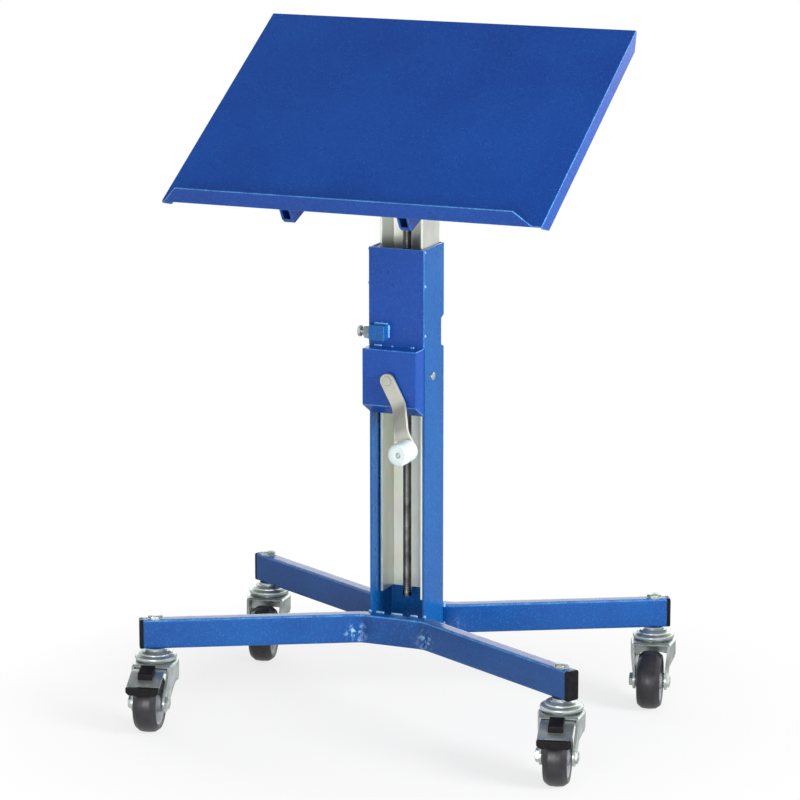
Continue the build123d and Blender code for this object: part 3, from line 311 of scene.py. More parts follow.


# Powder coat: deep blue, slightly cloudy, with fine lighter specks and an orange-peel bump. The column
# and the leg tubes are a little greener, and the tubes have pale spots at their bends: painted highlight.
# On folded edges, tube top corners and weld drops the coat is lighter and glossier: painted highlight.
bluePaints = {
    "sheet": {
        "name": "bluePaint", "deep": (0.0020, 0.043, 0.282), "bright": (0.0032, 0.058, 0.328),
        "speck": (0.016, 0.170, 0.480), "cloud": 7.0, "speckShare": 0.34,
        "peelDepth": 0.00005, "roughLow": 0.265, "roughHigh": 0.295, "specular": 0.34,
    },
    "post": {
        "name": "bluePaintPost", "deep": (0.0025, 0.068, 0.262), "bright": (0.0045, 0.092, 0.320),
        "speck": (0.016, 0.190, 0.480), "cloud": 9.0, "speckShare": 0.40,
        "peelDepth": 0.00008, "roughLow": 0.24, "roughHigh": 0.32, "specular": 0.34,
    },
    "tube": {
        "name": "bluePaintTube", "deep": (0.0022, 0.054, 0.240), "bright": (0.0040, 0.074, 0.290),
        "speck": (0.014, 0.170, 0.450), "cloud": 9.0, "speckShare": 0.40,
        "peelDepth": 0.00008, "roughLow": 0.20, "roughHigh": 0.28, "specular": 0.40,
        # painted highlight: pale cloudy spots at the bend dents
        "pinch": (0.053, 0.055, 0.120), "pinchHighlight": (0.34, 0.62, 0.85), "pinchCore": 0.003,
        "pinchReach": 0.019, "pinchNoise": 150.0, "pinchFrom": 0.48, "pinchFull": 0.66,
    },
    # Painted highlight: a lighter, glossier coat for rounded edges and the leg tubes' top corners
    "edge": {
        "name": "bluePaintEdgeHighlight", "deep": (0.012, 0.120, 0.400), "bright": (0.060, 0.250, 0.590),
        "speck": (0.160, 0.400, 0.720), "cloud": 60.0, "speckShare": 0.60,
        "peelDepth": 0.00010, "roughLow": 0.18, "roughHigh": 0.26, "specular": 0.50,
    },
    # Painted glint: a pale, glossy coat for the weld drops
    "drop": {
        "name": "bluePaintDropGlint", "deep": (0.070, 0.270, 0.600), "bright": (0.230, 0.480, 0.760),
        "speck": (0.300, 0.560, 0.820), "cloud": 90.0, "speckShare": 0.60,
        "peelDepth": 0.00010, "roughLow": 0.12, "roughHigh": 0.20, "specular": 0.50,
    },
}
paintGrain = {
    "cloudDetail": 2.0, "cloudFrom": 0.30, "cloudFull": 0.70, "roughFiner": 6.0,
    "speck": 430.0, "speckDetail": 1.0, "speckFrom": 0.52, "speckFull": 0.72,
    "peel": 240.0, "peelDetail": 2.0, "peelStrength": 0.25,
}


# Colour: clouds from deep to bright, then specks and the painted highlight spots at the bends over them.
# Roughness: finer clouds.
def makeBluePaint(look):
    g = paintGrain
    f = Finish(look["name"], look["deep"], 0.0, look["roughLow"])
    clouds = f.noise(look["cloud"], g["cloudDetail"])
    tone = f.ramp(clouds, [(g["cloudFrom"], look["deep"]), (g["cloudFull"], look["bright"])])
    grains = f.noise(g["speck"], g["speckDetail"])
    specks = f.span(grains, 0.0, look["speckShare"], g["speckFrom"], g["speckFull"])
    tone = f.blend(specks, tone, look["speck"])
    if "pinch" in look:
        tone = f.blend(f.pinchHighlightMask(look), tone, look["pinchHighlight"])
    f.color(tone)
    f.rough(f.span(f.noise(look["cloud"] * g["roughFiner"]), look["roughLow"], look["roughHigh"]))
    f.bump(f.noise(g["peel"], g["peelDetail"]), g["peelStrength"], look["peelDepth"])
    f.shader.inputs["Specular IOR Level"].default_value = look["specular"]
    return f.material


# Galvanised sheet: dull crystals of several sizes, drawn out along the sheet's length
galvanisedSheet = {
    "dark": (0.66, 0.69, 0.62), "pale": (0.84, 0.87, 0.80), "metallic": 0.80,
    "spangle": 70.0, "spangleShape": (1.0, 1.0, 0.6), "spangleShare": 0.12,
    "streak": 26.0, "streakShape": (1.0, 1.0, 0.10), "streakRough": 0.6,
    "streakFrom": 0.30, "streakFull": 0.70,
    "roughLow": 0.28, "roughHigh": 0.40,
    "grain": 700.0, "grainDetail": 2.0, "grainStrength": 0.25, "grainDepth": 0.00006,
}


# Colour: long streaks from dark to pale, with the crystals' cells blended in softly
def makeGalvanised():
    look = galvanisedSheet
    f = Finish("galvanisedSheet", look["pale"], look["metallic"], look["roughLow"])
    crystals = f.cells(look["spangle"], f.stretched(look["spangleShape"]))
    drawnOut = f.stretched(look["streakShape"])
    streaks = f.noise(look["streak"], roughness=look["streakRough"], place=drawnOut)
    tone = f.ramp(streaks, [(look["streakFrom"], look["dark"]), (look["streakFull"], look["pale"])])
    f.color(f.blend(look["spangleShare"], tone, crystals, "SOFT_LIGHT"))
    f.rough(f.span(f.noise(look["spangle"]), look["roughLow"], look["roughHigh"]))
    f.bump(f.noise(look["grain"], look["grainDetail"]), look["grainStrength"], look["grainDepth"])
    return f.material


# Bare and plated metals: two close tones in soft clouds, and a fine grain
metals = {
    "zinc": {
        "name": "zincPlate", "dark": (0.36, 0.41, 0.39), "pale": (0.64, 0.70, 0.68), "metallic": 0.85,
        "cloud": 45.0, "roughLow": 0.27, "roughHigh": 0.38, "grain": 900.0,
    },
    "dark_steel": {
        "name": "oiledSteel", "dark": (0.10, 0.098, 0.088), "pale": (0.26, 0.255, 0.235), "metallic": 1.0,
        "cloud": 60.0, "roughLow": 0.12, "roughHigh": 0.20, "grain": 900.0,
    },
    "brass": {
        "name": "turnedBrass", "dark": (0.54, 0.38, 0.16), "pale": (0.72, 0.54, 0.26), "metallic": 1.0,
        "cloud": 110.0, "roughLow": 0.24, "roughHigh": 0.36, "grain": 800.0,
    },
    "satin_bar": {
        "name": "satinBar", "dark": (0.40, 0.40, 0.345), "pale": (0.54, 0.54, 0.475), "metallic": 0.45,
        "cloud": 38.0, "roughLow": 0.34, "roughHigh": 0.46, "grain": 900.0,
    },
}
metalGrain = {
    "detail": 4.0, "from": 0.32, "full": 0.68, "roughFiner": 2.5,
    "grainDetail": 2.0, "strength": 0.22, "depth": 0.00005,
}


# Colour: clouds from dark to pale. Roughness: finer clouds. Bump: the grain.
def makeMetal(look):
    g = metalGrain
    f = Finish(look["name"], look["pale"], look["metallic"], look["roughLow"])
    clouds = f.noise(look["cloud"], g["detail"])
    f.color(f.ramp(clouds, [(g["from"], look["dark"]), (g["full"], look["pale"])]))
    f.rough(f.span(f.noise(look["cloud"] * g["roughFiner"]), look["roughLow"], look["roughHigh"]))
    f.bump(f.noise(look["grain"], g["grainDetail"]), g["strength"], g["depth"])
    return f.material


# Rubber and plastics: two close tones, a roughness that wanders a little, and a moulded grain
plastics = {
    "tyre_rubber": {
        "name": "tyreRubber", "dark": (0.012, 0.012, 0.015), "pale": (0.030, 0.030, 0.036),
        "specular": 0.50, "cloud": 55.0, "roughLow": 0.27, "roughHigh": 0.38,
        "grain": 900.0, "depth": 0.00006,
    },
    "wheel_hub": {
        "name": "hubPlastic", "dark": (0.20, 0.21, 0.23), "pale": (0.30, 0.31, 0.33),
        "specular": 0.50, "cloud": 90.0, "roughLow": 0.34, "roughHigh": 0.48,
        "grain": 900.0, "depth": 0.00006,
    },
    "black_plastic": {
        "name": "blackPlastic", "dark": (0.004, 0.004, 0.005), "pale": (0.009, 0.009, 0.010),
        "specular": 0.16, "cloud": 160.0, "roughLow": 0.30, "roughHigh": 0.42,
        "grain": 1400.0, "depth": 0.00008,
    },
    "white_plastic": {
        "name": "gripPlastic", "dark": (0.56, 0.66, 0.655), "pale": (0.66, 0.745, 0.74),
        "specular": 0.42, "cloud": 60.0, "roughLow": 0.22, "roughHigh": 0.32,
        "grain": 700.0, "depth": 0.00004,
    },
    "guide_plastic": {
        "name": "guidePlastic", "dark": (0.60, 0.60, 0.54), "pale": (0.72, 0.72, 0.68),
        "specular": 0.40, "cloud": 110.0, "roughLow": 0.42, "roughHigh": 0.55,
        "grain": 800.0, "depth": 0.00006,
    },
}
plasticGrain = {
    "detail": 4.0, "from": 0.32, "full": 0.70, "roughFiner": 3.0,
    "grainDetail": 2.0, "strength": 0.35,
}


# Colour: clouds from dark to pale. Roughness: finer clouds. Bump: the moulded grain.
def makePlastic(look):
    g = plasticGrain
    f = Finish(look["name"], look["pale"], 0.0, look["roughLow"])
    clouds = f.noise(look["cloud"], g["detail"])
    f.color(f.ramp(clouds, [(g["from"], look["dark"]), (g["full"], look["pale"])]))
    f.rough(f.span(f.noise(look["cloud"] * g["roughFiner"]), look["roughLow"], look["roughHigh"]))
    f.bump(f.noise(look["grain"], g["grainDetail"]), g["strength"], look["depth"])
    f.shader.inputs["Specular IOR Level"].default_value = look["specular"]
    return f.material


paints = {kind: makeBluePaint(look) for kind, look in bluePaints.items()}
finishes = {"blue_coat": paints["sheet"], "galvanised": makeGalvanised()}
finishes.update({slotName: makeMetal(look) for slotName, look in metals.items()})
finishes.update({slotName: makePlastic(look) for slotName, look in plastics.items()})
for name, item in nodes.items():
    item.data.materials.clear()
    item.data.materials.append(finishes[slotOf[name]])
print("stage: finishes,", len(finishes))


# Puts a finished mesh in the scene, on its body, with its finish and in place of the nodes it stands for
def addPiece(name, mesh, body, slotName, *stoodFor):
    piece = placed(bpy.data.objects.new(name, mesh))
    mesh.materials.clear()
    mesh.materials.append(finishes[slotName])
    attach(piece, body)
    if stoodFor:
        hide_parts(*stoodFor)
    return piece


# Angles past which an edge stays crisp, and distances below which two points become one
crease = {"weld": 60.0, "soft": 50.0, "turned": 40.0, "bolt": 35.0, "fold": 28.0}
merging = {"surface": 0.000005, "solid": 0.00002, "flatAngle": 0.8}


# Shades a mesh smooth, with its doubles merged, and keeps edges sharper than the angle crisp.
# A solid's loose triangles also become whole flat faces.
def shaped(mesh, degrees, solid=False):
    form = bmesh.new()
    form.from_mesh(mesh)
    bmesh.ops.remove_doubles(form, verts=form.verts, dist=merging["solid" if solid else "surface"])
    if solid:
        flat = math.radians(merging["flatAngle"])
        bmesh.ops.dissolve_limit(form, angle_limit=flat, verts=form.verts, edges=form.edges)
    bmesh.ops.recalc_face_normals(form, faces=form.faces)
    limit = math.radians(degrees)
    for face in form.faces:
        face.smooth = True
    for edge in form.edges:
        edge.smooth = len(edge.link_faces) == 2 and edge.calc_face_angle(0.0) < limit
    form.to_mesh(mesh)
    form.free()
    return mesh


# Folded and pressed parts keep their solid's shape, with their sharp edges rounded by these widths
edgeRounding = {
    "table_tray": 0.0011, "column": 0.0008, "column_front_panel": 0.0009, "gear_housing": 0.0012,
    "clamp_block": 0.0008, "crank_arm": 0.0009, "left_table_arm": 0.0012, "right_table_arm": 0.0012,
    "mast": 0.0005, "mast_head": 0.0010, "tilt_quadrant": 0.0007, "leg_end_caps": 0.0006,
    "gear_shelf": 0.0006, "guide_pads": 0.0005,
    "front_left_fork": 0.0007, "front_right_fork": 0.0007,
    "rear_left_fork": 0.0007, "rear_right_fork": 0.0007,
    "front_left_brake_pedal": 0.0006, "front_right_brake_pedal": 0.0006,
    "front_left_pedal_pads": 0.0010, "front_right_pedal_pads": 0.0010,
}
roundingSteps = 3
ownFinish = {  # these differ from the rest of their slot
    "crank_arm": finishes["satin_bar"], "crank_shaft": finishes["satin_bar"],
    "column": paints["post"], "clamp_block": paints["post"],
}


# Each edge sharper than a fold gives way to an arc of the width; on painted parts the arc gets the
# lighter edge paint, a painted highlight
def rounded(name, width):
    mesh = shaped(nodes[name].data.copy(), crease["fold"], solid=True)
    piece = addPiece(name + ".rounded", mesh, bodyOf[name], slotOf[name], name)
    bevel = piece.modifiers.new("roundedEdges", "BEVEL")
    bevel.width = width
    bevel.segments = roundingSteps
    bevel.limit_method = "ANGLE"
    bevel.angle_limit = math.radians(crease["fold"])
    bevel.use_clamp_overlap = True
    bevel.harden_normals = True
    # Painted highlight: the arcs take the lighter, glossier edge paint
    if slotOf[name] == "blue_coat":
        mesh.materials.append(paints["edge"])
        bevel.material = 1
    return piece


dressed = dict(nodes)
for name, width in edgeRounding.items():
    dressed[name] = rounded(name, width)
for name, finish in ownFinish.items():
    dressed[name].data.materials[0] = finish
print("stage: folded edges rounded,", len(edgeRounding))


# A closed surface from a grid of points, one ring to a row. Rings that don't wrap get an end face each.
def gridMesh(name, points, wrapRows=False):
    rows, cols = points.shape[:2]
    index = np.arange(rows * cols).reshape(rows, cols)
    right = np.roll(index, -1, 1)
    quads = np.stack([index, right, np.roll(right, -1, 0), np.roll(index, -1, 0)], -1)
    faces = quads[: rows if wrapRows else rows - 1].reshape(-1, 4).tolist()
    if not wrapRows:
        faces += [index[0].tolist(), index[-1].tolist()]
    mesh = bpy.data.meshes.new(name)
    mesh.from_pydata(points.reshape(-1, 3).tolist(), [], faces)
    return mesh


# Several meshes as one
def joined(name, meshes):
    form = bmesh.new()
    for mesh in meshes:
        form.from_mesh(mesh)
        bpy.data.meshes.remove(mesh)
    whole = bpy.data.meshes.new(name)
    form.to_mesh(whole)
    form.free()
    return whole


# Corners (x, y, radius) of a closed outline, each replaced by the arc that touches both its sides.
# The arc's middle is radius / sin(half angle) from the corner, towards the inside.
def roundedOutline(corners, steps=6):
    points = np.array([corner[:2] for corner in corners], float)
    straight = math.radians(89.0)
    made = []
    for i, here in enumerate(points):
        radius = corners[i][2]
        back = points[i - 1] - here
        ahead = points[(i + 1) % len(corners)] - here
        back /= np.linalg.norm(back)
        ahead /= np.linalg.norm(ahead)
        half = math.acos(float(np.clip(back @ ahead, -1.0, 1.0))) / 2
        if radius <= 0 or half > straight:
            made.append(here[None])
            continue
        reach = radius / math.tan(half)
        middle = here + (back + ahead) / np.linalg.norm(back + ahead) * radius / math.sin(half)
        first = here + back * reach - middle
        last = here + ahead * reach - middle
        turn = math.acos(float(np.clip(first @ last / radius**2, -1.0, 1.0)))
        share = np.linspace(0.0, 1.0, steps)[:, None]
        arc = np.sin((1 - share) * turn) * first + np.sin(share * turn) * last
        made.append(middle + arc / math.sin(turn))
    return np.concatenate(made)


# A unit axis and a ring of unit vectors square to it: cos(angle) * side + sin(angle) * other side
def ringRound(axis, around, turn=0.0):
    axis = np.array(axis, float) / np.linalg.norm(axis)
    side = np.cross(axis, (0.0, 0.0, 1.0) if abs(axis[2]) < 0.9 else (1.0, 0.0, 0.0))
    side /= np.linalg.norm(side)
    angle = np.linspace(0.0, 2 * math.pi, around, endpoint=False)
    ring = np.cos(angle + turn)[:, None] * side + np.sin(angle + turn)[:, None] * np.cross(axis, side)
    return axis, angle, ring


# An outline of (radius, height) carried round an axis: point = place + radius * ring + height * axis
def turned(name, outline, place, axis, around):
    axis, angle, ring = ringRound(axis, around)
    points = np.array(place, float) + outline[:, 0, None, None] * ring + outline[:, 1, None, None] * axis
    return gridMesh(name, points, wrapRows=True)


# How round a head is, and its radius at the top as a share of its width over flats
hexagon = {"around": 72, "topShare": 0.47}


# A hexagon head: radius = flats / 2 / cos(angle from the nearest flat), but inside the chamfer's cone
def hexHead(name, place, axis, flats, height, chamfer, turn):
    axis, angle, ring = ringRound(axis, hexagon["around"], turn)
    sixth = math.pi / 3
    sides = flats / 2 / np.cos((angle + sixth / 2) % sixth - sixth / 2)
    corner = flats / 2 / math.cos(sixth / 2)
    top = flats * hexagon["topShare"]
    levels = np.array([0.0, height / 2, height - chamfer, height - chamfer / 2, height])
    cone = np.array([corner, corner, corner, (corner + top) / 2, top])
    radius = np.minimum(sides[None], cone[:, None])
    points = np.array(place, float) + radius[..., None] * ring + levels[:, None, None] * axis
    return gridMesh(name, points)


# Rings to one turn of a thread, and the shape of its groove
threadForm = {"perTurn": 8, "slope": 4.0, "crest": 0.5}


# A threaded rod: phase = way along / lead - angle / full turn, and the radius falls by the depth where
# the phase is far from a half. The start may be plain, and it draws in along a parabola at its tip.
def threaded(name, place, axis, radius, length, look):
    axis, angle, ring = ringRound(axis, look["around"])
    rows = int(length / look["lead"] * threadForm["perTurn"]) + 2
    along = np.linspace(0.0, length, rows)[:, None]
    phase = (along / look["lead"] - angle[None] / (2 * math.pi)) % 1.0
    groove = np.clip(np.abs(phase - 0.5) * threadForm["slope"] - threadForm["crest"], 0.0, 1.0)
    begun = np.clip((along - look["plain"]) / look["lead"], 0.0, 1.0)
    pointed = np.clip(1.0 - along / look["tip"], 0.0, 1.0) ** 2 * look["tip"]
    r = radius - look["depth"] * groove * begun - pointed
    points = np.array(place, float) + r[..., None] * ring + along[..., None] * axis
    return gridMesh(name, points)


# A place moved up
def raised(place, height):
    return place + np.array([0.0, 0.0, height])


# Spindle of the mast lift
spindleLook = {
    "radius": 0.0060, "low": 0.163, "high": 0.774,
    "lead": 0.0030, "depth": 0.00045, "plain": 0.006, "tip": 0.002, "around": 30,
}


# A thread along Z from low to high
def makeSpindle():
    s = spindleLook
    length = s["high"] - s["low"]
    mesh = threaded("spindleThread", (0.0, 0.0, s["low"]), (0, 0, 1), s["radius"], length, s)
    addPiece("spindleThread", shaped(mesh, crease["soft"]), "mast_body", "dark_steel", "spindle")


# Casters: places of the king bolts, and the way the wheels trail
caster = {"boltX": 0.293, "boltY": 0.181, "trail": 0.040, "turn": 13.5, "wheel": 0.040, "tubeTop": 0.146}
turnedBy = math.radians(caster["turn"])
axleWay = np.array([math.cos(turnedBy), math.sin(turnedBy), 0.0])
trailWay = np.array([math.sin(turnedBy), -math.cos(turnedBy), 0.0])
casterPlaces = {
    "front_left": np.array([-caster["boltX"], -caster["boltY"], 0.0]),
    "front_right": np.array([caster["boltX"], -caster["boltY"], 0.0]),
    "rear_left": np.array([-caster["boltX"], caster["boltY"], 0.0]),
    "rear_right": np.array([caster["boltX"], caster["boltY"], 0.0]),
}


# The wheel's middle is the bolt's place, moved along the trail and up to the axle
def wheelMiddle(place):
    return raised(place + trailWay * caster["trail"], caster["wheel"])


# Swivel heads: domed pressed caps, one ring standing above the other, as (radius, height, rounding)
swivelHead = {
    "outline": [
        (0.0063, 0.0910, 0.0), (0.0280, 0.0910, 0.0006), (0.0285, 0.0935, 0.0008),
        (0.0283, 0.0962, 0.0028), (0.0240, 0.0982, 0.0012), (0.0228, 0.0978, 0.0005),
        (0.0222, 0.1000, 0.0008), (0.0190, 0.1022, 0.0010), (0.0160, 0.1018, 0.0005),
        (0.0152, 0.1030, 0.0004), (0.0063, 0.1030, 0.0),
    ],
    "around": 64,
}


# The outline is carried round each king bolt
def makeSwivelHeads():
    outline = roundedOutline(swivelHead["outline"])
    around = swivelHead["around"]
    made = [turned("head", outline, place, (0, 0, 1), around) for place in casterPlaces.values()]
    mesh = shaped(joined("swivelHeads", made), crease["turned"])
    addPiece("swivelHeads", mesh, "base", "zinc", "swivel_heads")


# King bolts: washer, chamfered head and shank
kingBolt = {
    "core": 0.001, "washer": 0.0100, "washerHeight": 0.0010, "washerLow": 0.0003, "washerTop": 0.0004,
    "washerAround": 48, "flats": 0.0170, "head": 0.0045, "chamfer": 0.0012, "turn": 0.4, "turnStep": 0.7,
    "shank": 0.0060, "foot": 0.0774, "lead": 0.00175, "depth": 0.0005, "plain": 0.0, "tip": 0.0012,
    "around": 30,
}


# Washer and head stand on the tube's top, and the threaded shank rises to it. Each head is turned
# on by a step more.
def makeKingBolts():
    b = kingBolt
    washer = roundedOutline([
        (b["core"], 0.0, 0.0), (b["washer"], 0.0, b["washerLow"]),
        (b["washer"], b["washerHeight"], b["washerTop"]), (b["core"], b["washerHeight"], 0.0),
    ])
    made = []
    for index, place in enumerate(casterPlaces.values()):
        top = raised(place, caster["tubeTop"])
        seat = raised(top, b["washerHeight"])
        turn = b["turn"] + b["turnStep"] * index
        length = caster["tubeTop"] - b["foot"]
        made.append(turned("washer", washer, top, (0, 0, 1), b["washerAround"]))
        made.append(hexHead("head", seat, (0, 0, 1), b["flats"], b["head"], b["chamfer"], turn))
        made.append(threaded("shank", raised(place, b["foot"]), (0, 0, 1), b["shank"], length, b))
    mesh = shaped(joined("kingBolts", made), crease["bolt"])
    addPiece("kingBolts", mesh, "base", "zinc", "caster_bolts")


# Tyres and hubs: outlines of (radius, way along the axle, rounding)
wheelShape = {
    "tyre": [
        (0.0290, -0.0145, 0.0008), (0.0320, -0.0160, 0.0015), (0.0345, -0.0158, 0.0020),
        (0.0392, -0.0095, 0.0070), (0.0400, 0.0, 0.0300), (0.0392, 0.0095, 0.0070),
        (0.0345, 0.0158, 0.0020), (0.0320, 0.0160, 0.0015), (0.0290, 0.0145, 0.0008),
    ],
    "hub": [
        (0.00605, -0.0190, 0.0), (0.0105, -0.0190, 0.0008), (0.0120, -0.0150, 0.0010),
        (0.0122, -0.0070, 0.0018), (0.0228, -0.0062, 0.0016), (0.0262, -0.0138, 0.0010),
        (0.0290, -0.0145, 0.0004), (0.0290, 0.0145, 0.0004), (0.0262, 0.0138, 0.0010),
        (0.0228, 0.0062, 0.0016), (0.0122, 0.0070, 0.0018), (0.0120, 0.0150, 0.0010),
        (0.0105, 0.0190, 0.0008), (0.00605, 0.0190, 0.0),
    ],
    "tyreAround": 72, "hubAround": 60, "hubSteps": 4,
}


# Both outlines are carried round the axle
def makeWheels():
    w = wheelShape
    tyreOutline = roundedOutline(w["tyre"])
    hubOutline = roundedOutline(w["hub"], w["hubSteps"])
    for name, place in casterPlaces.items():
        middle = wheelMiddle(place)
        tyre = turned(name + "Tyre", tyreOutline, middle, axleWay, w["tyreAround"])
        hub = turned(name + "Hub", hubOutline, middle, axleWay, w["hubAround"])
        shaped(tyre, crease["soft"])
        shaped(hub, crease["turned"])
        addPiece(name + "Tyre", tyre, name + "_wheel", "tyre_rubber", name + "_tyre")
        addPiece(name + "Hub", hub, name + "_wheel", "wheel_hub", name + "_hub")


# Axle bolts: chamfered head on the left, nut and a little of the shank on the right
axleBolt = {
    "core": 0.0005, "half": 0.023, "radius": 0.0060, "end": 0.0008, "endRound": 0.0006, "around": 40,
    "flats": 0.0170, "head": 0.0055, "headChamfer": 0.0013, "headTurnStep": 0.3,
    "nut": 0.0040, "nutChamfer": 0.0011, "nutTurn": 0.2, "nutTurnStep": 0.5,
}


# The shank is carried round the axle, from half a width to the left. Each head and nut is turned on
# by a step more.
def makeAxles():
    a = axleBolt
    length = 2 * a["half"] + a["nut"] + a["end"]
    outline = roundedOutline([
        (a["core"], 0.0, 0.0), (a["radius"], 0.0, 0.0),
        (a["radius"], length, a["endRound"]), (a["core"], length, 0.0),
    ])
    for index, (name, place) in enumerate(casterPlaces.items()):
        left = wheelMiddle(place) - axleWay * a["half"]
        right = wheelMiddle(place) + axleWay * a["half"]
        headTurn = a["headTurnStep"] * index
        nutTurn = a["nutTurn"] + a["nutTurnStep"] * index
        made = [
            turned("shank", outline, left, axleWay, a["around"]),
            hexHead("head", left, -axleWay, a["flats"], a["head"], a["headChamfer"], headTurn),
            hexHead("nut", right, axleWay, a["flats"], a["nut"], a["nutChamfer"], nutTurn),
        ]
        mesh = shaped(joined(name + "Axle", made), crease["bolt"])
        addPiece(name + "Axle", mesh, name + "_swivel", "zinc", name + "_axle")


# Leg tubes: a rounded rectangle carried along runs and bends, with a dent on the inner side of each bend
legTube = {
    "bendX": 0.047, "centreY": 0.045, "centreZ": 0.126, "bend": 0.045, "pastBolt": 0.0165,
    "width": 0.020, "height": 0.040, "corner": 0.0032, "cornerSteps": 5, "faceStep": 0.0025,
    "dent": 0.0036, "dentReach": 0.0120, "dentTall": 0.72,
    "bendRings": 17, "middleRings": 9, "runRings": 30, "runCrowding": 1.5,
    # the top's rounded corners get the lighter edge paint, a painted highlight
    "highlightTilts": (0.45, 0.93),  # share of up in the normals that count as the top's rounded corners
}


# Points along the tube's middle line, close together in its bends, the way across it at each, and each
# point's distance from the nearest bend. In a bend, point = start + bend * (sin(angle), 1 - cos(angle)).
def bentPath(side):
    t = legTube
    bolt = np.array([caster["boltX"], caster["boltY"]])
    corner = np.array([t["bendX"], t["centreY"]])
    run = (bolt - corner) / np.linalg.norm(bolt - corner)
    turn = math.atan2(run[1], run[0])
    bendStart = corner[0] - t["bend"] * math.tan(turn / 2)
    angle = np.linspace(0.0, turn, t["bendRings"])
    arc = np.stack([np.sin(angle), 1 - np.cos(angle)], -1) * t["bend"] + [bendStart, corner[1]]
    flat = np.linspace(0.0, bendStart, t["middleRings"])[:-1]
    middle = np.stack([flat, np.full(len(flat), corner[1])], -1)
    share = np.linspace(0.0, 1.0, t["runRings"])[1:, None] ** t["runCrowding"]
    out = share * (bolt + run * t["pastBolt"] - arc[-1]) + arc[-1]
    right = np.concatenate([middle, arc, out])
    left = right[1:][::-1] * [-1.0, 1.0]
    line = np.concatenate([left, right])
    ahead = np.gradient(line, axis=0)
    ahead /= np.linalg.norm(ahead, axis=1)[:, None]
    sideways = np.stack([-ahead[:, 1], ahead[:, 0]], -1)
    bends = np.array([[-corner[0], corner[1]], [corner[0], corner[1]]])
    near = np.min(np.linalg.norm(line[:, None] - bends[None], axis=2), axis=1)
    return line * [1.0, side], sideways * [1.0, side], near


# One vector of each face of a mesh, as an array
def faceVectors(mesh, what):
    values = np.zeros(3 * len(mesh.polygons), np.float32)
    mesh.polygons.foreach_get(what, values)
    return values.reshape(-1, 3)


# Point = line + sideways * (across - dent), at its height. The dent fades with the distance from the
# bend, with the height from the tube's middle, and from its inner face outwards.
def makeLegTube(side, name, node):
    t = legTube
    line, sideways, near = bentPath(side)
    half = t["width"] / 2
    tall = t["height"] / 2
    r = t["corner"]
    corners = [(-half, -tall, r), (half, -tall, r), (half, tall, r), (-half, tall, r)]
    outline = roundedOutline(corners, t["cornerSteps"])
    fine = []
    for a, b in zip(outline, np.roll(outline, -1, 0)):
        count = max(1, int(np.linalg.norm(b - a) / t["faceStep"]))
        fine.append(a + (b - a) * np.linspace(0.0, 1.0, count, endpoint=False)[:, None])
    across, height = np.concatenate(fine).T
    fadeAlong = np.exp(-((near / t["dentReach"]) ** 2))[:, None]
    fadeIn = np.clip(across / half, 0.0, 1.0)[None] ** 3
    fadeUp = np.exp(-((height / (tall * t["dentTall"])) ** 4))[None]
    moved = across[None] - t["dent"] * fadeAlong * fadeIn * fadeUp
    points = np.zeros((len(line), len(height), 3))
    points[..., :2] = line[:, None] + sideways[:, None] * moved[..., None]
    points[..., 2] = t["centreZ"] + height[None]
    mesh = gridMesh(name, points)
    addPiece(name, shaped(mesh, crease["bolt"]), "base", "blue_coat", node)
    mesh.materials[0] = paints["tube"]
    # Painted highlight: faces on the top's rounded corners take the lighter edge paint
    mesh.materials.append(paints["edge"])
    tilt = np.abs(faceVectors(mesh, "normal")[:, 2])
    low, high = t["highlightTilts"]
    highlightCorners = (tilt > low) & (tilt < high) & (faceVectors(mesh, "center")[:, 2] > t["centreZ"])
    mesh.polygons.foreach_set("material_index", highlightCorners.astype(np.int32))


# Weld beads, and where they stand
weldLook = {
    "ripple": 0.20, "pitch": 0.0032, "around": 12, "ringsPerDrop": 6, "fewestRings": 9, "blunt": 0.02,
    "panel": {"heights": (0.647, 0.601, 0.534), "behind": 0.003, "half": 0.0022, "radius": 0.0015},
    "block": {"inset": 0.001, "proud": 0.0004, "radius": 0.0013},
    "housing": {"places": ((-0.027, 0.006), (-0.006, 0.002), (0.023, 0.003)), "radius": 0.0011},
    "tube": {
        "face": 0.035, "runs": ((-0.032, -0.019), (-0.009, 0.008), (0.019, 0.030)), "radius": 0.0014,
    },
    "foot": {"below": 0.004, "above": 0.003, "radius": 0.0019},
    "inside": {"low": 0.110, "high": 0.122, "radius": 0.0015},
}


# A string of overlapping drops: point = place along the bead + radius * round ends * (1 + ripple) * ring
def bead(start, end, radius):
    look = weldLook
    start = np.array(start, float)
    end = np.array(end, float)
    length = np.linalg.norm(end - start)
    axis, angle, ring = ringRound(end - start, look["around"])
    rows = max(look["fewestRings"], int(length / look["pitch"] * look["ringsPerDrop"]))
    share = np.linspace(0.0, 1.0, rows)
    place = start + (share * length)[:, None] * axis
    ends = np.sqrt(np.clip(1.0 - np.abs(2 * share - 1) ** (length / radius), 0.0, 1.0)) + look["blunt"]
    ripple = 1 + look["ripple"] * np.abs(np.sin(share * length / look["pitch"] * math.pi))
    return gridMesh("bead", place[:, None] + (radius * ends * ripple)[:, None, None] * ring)


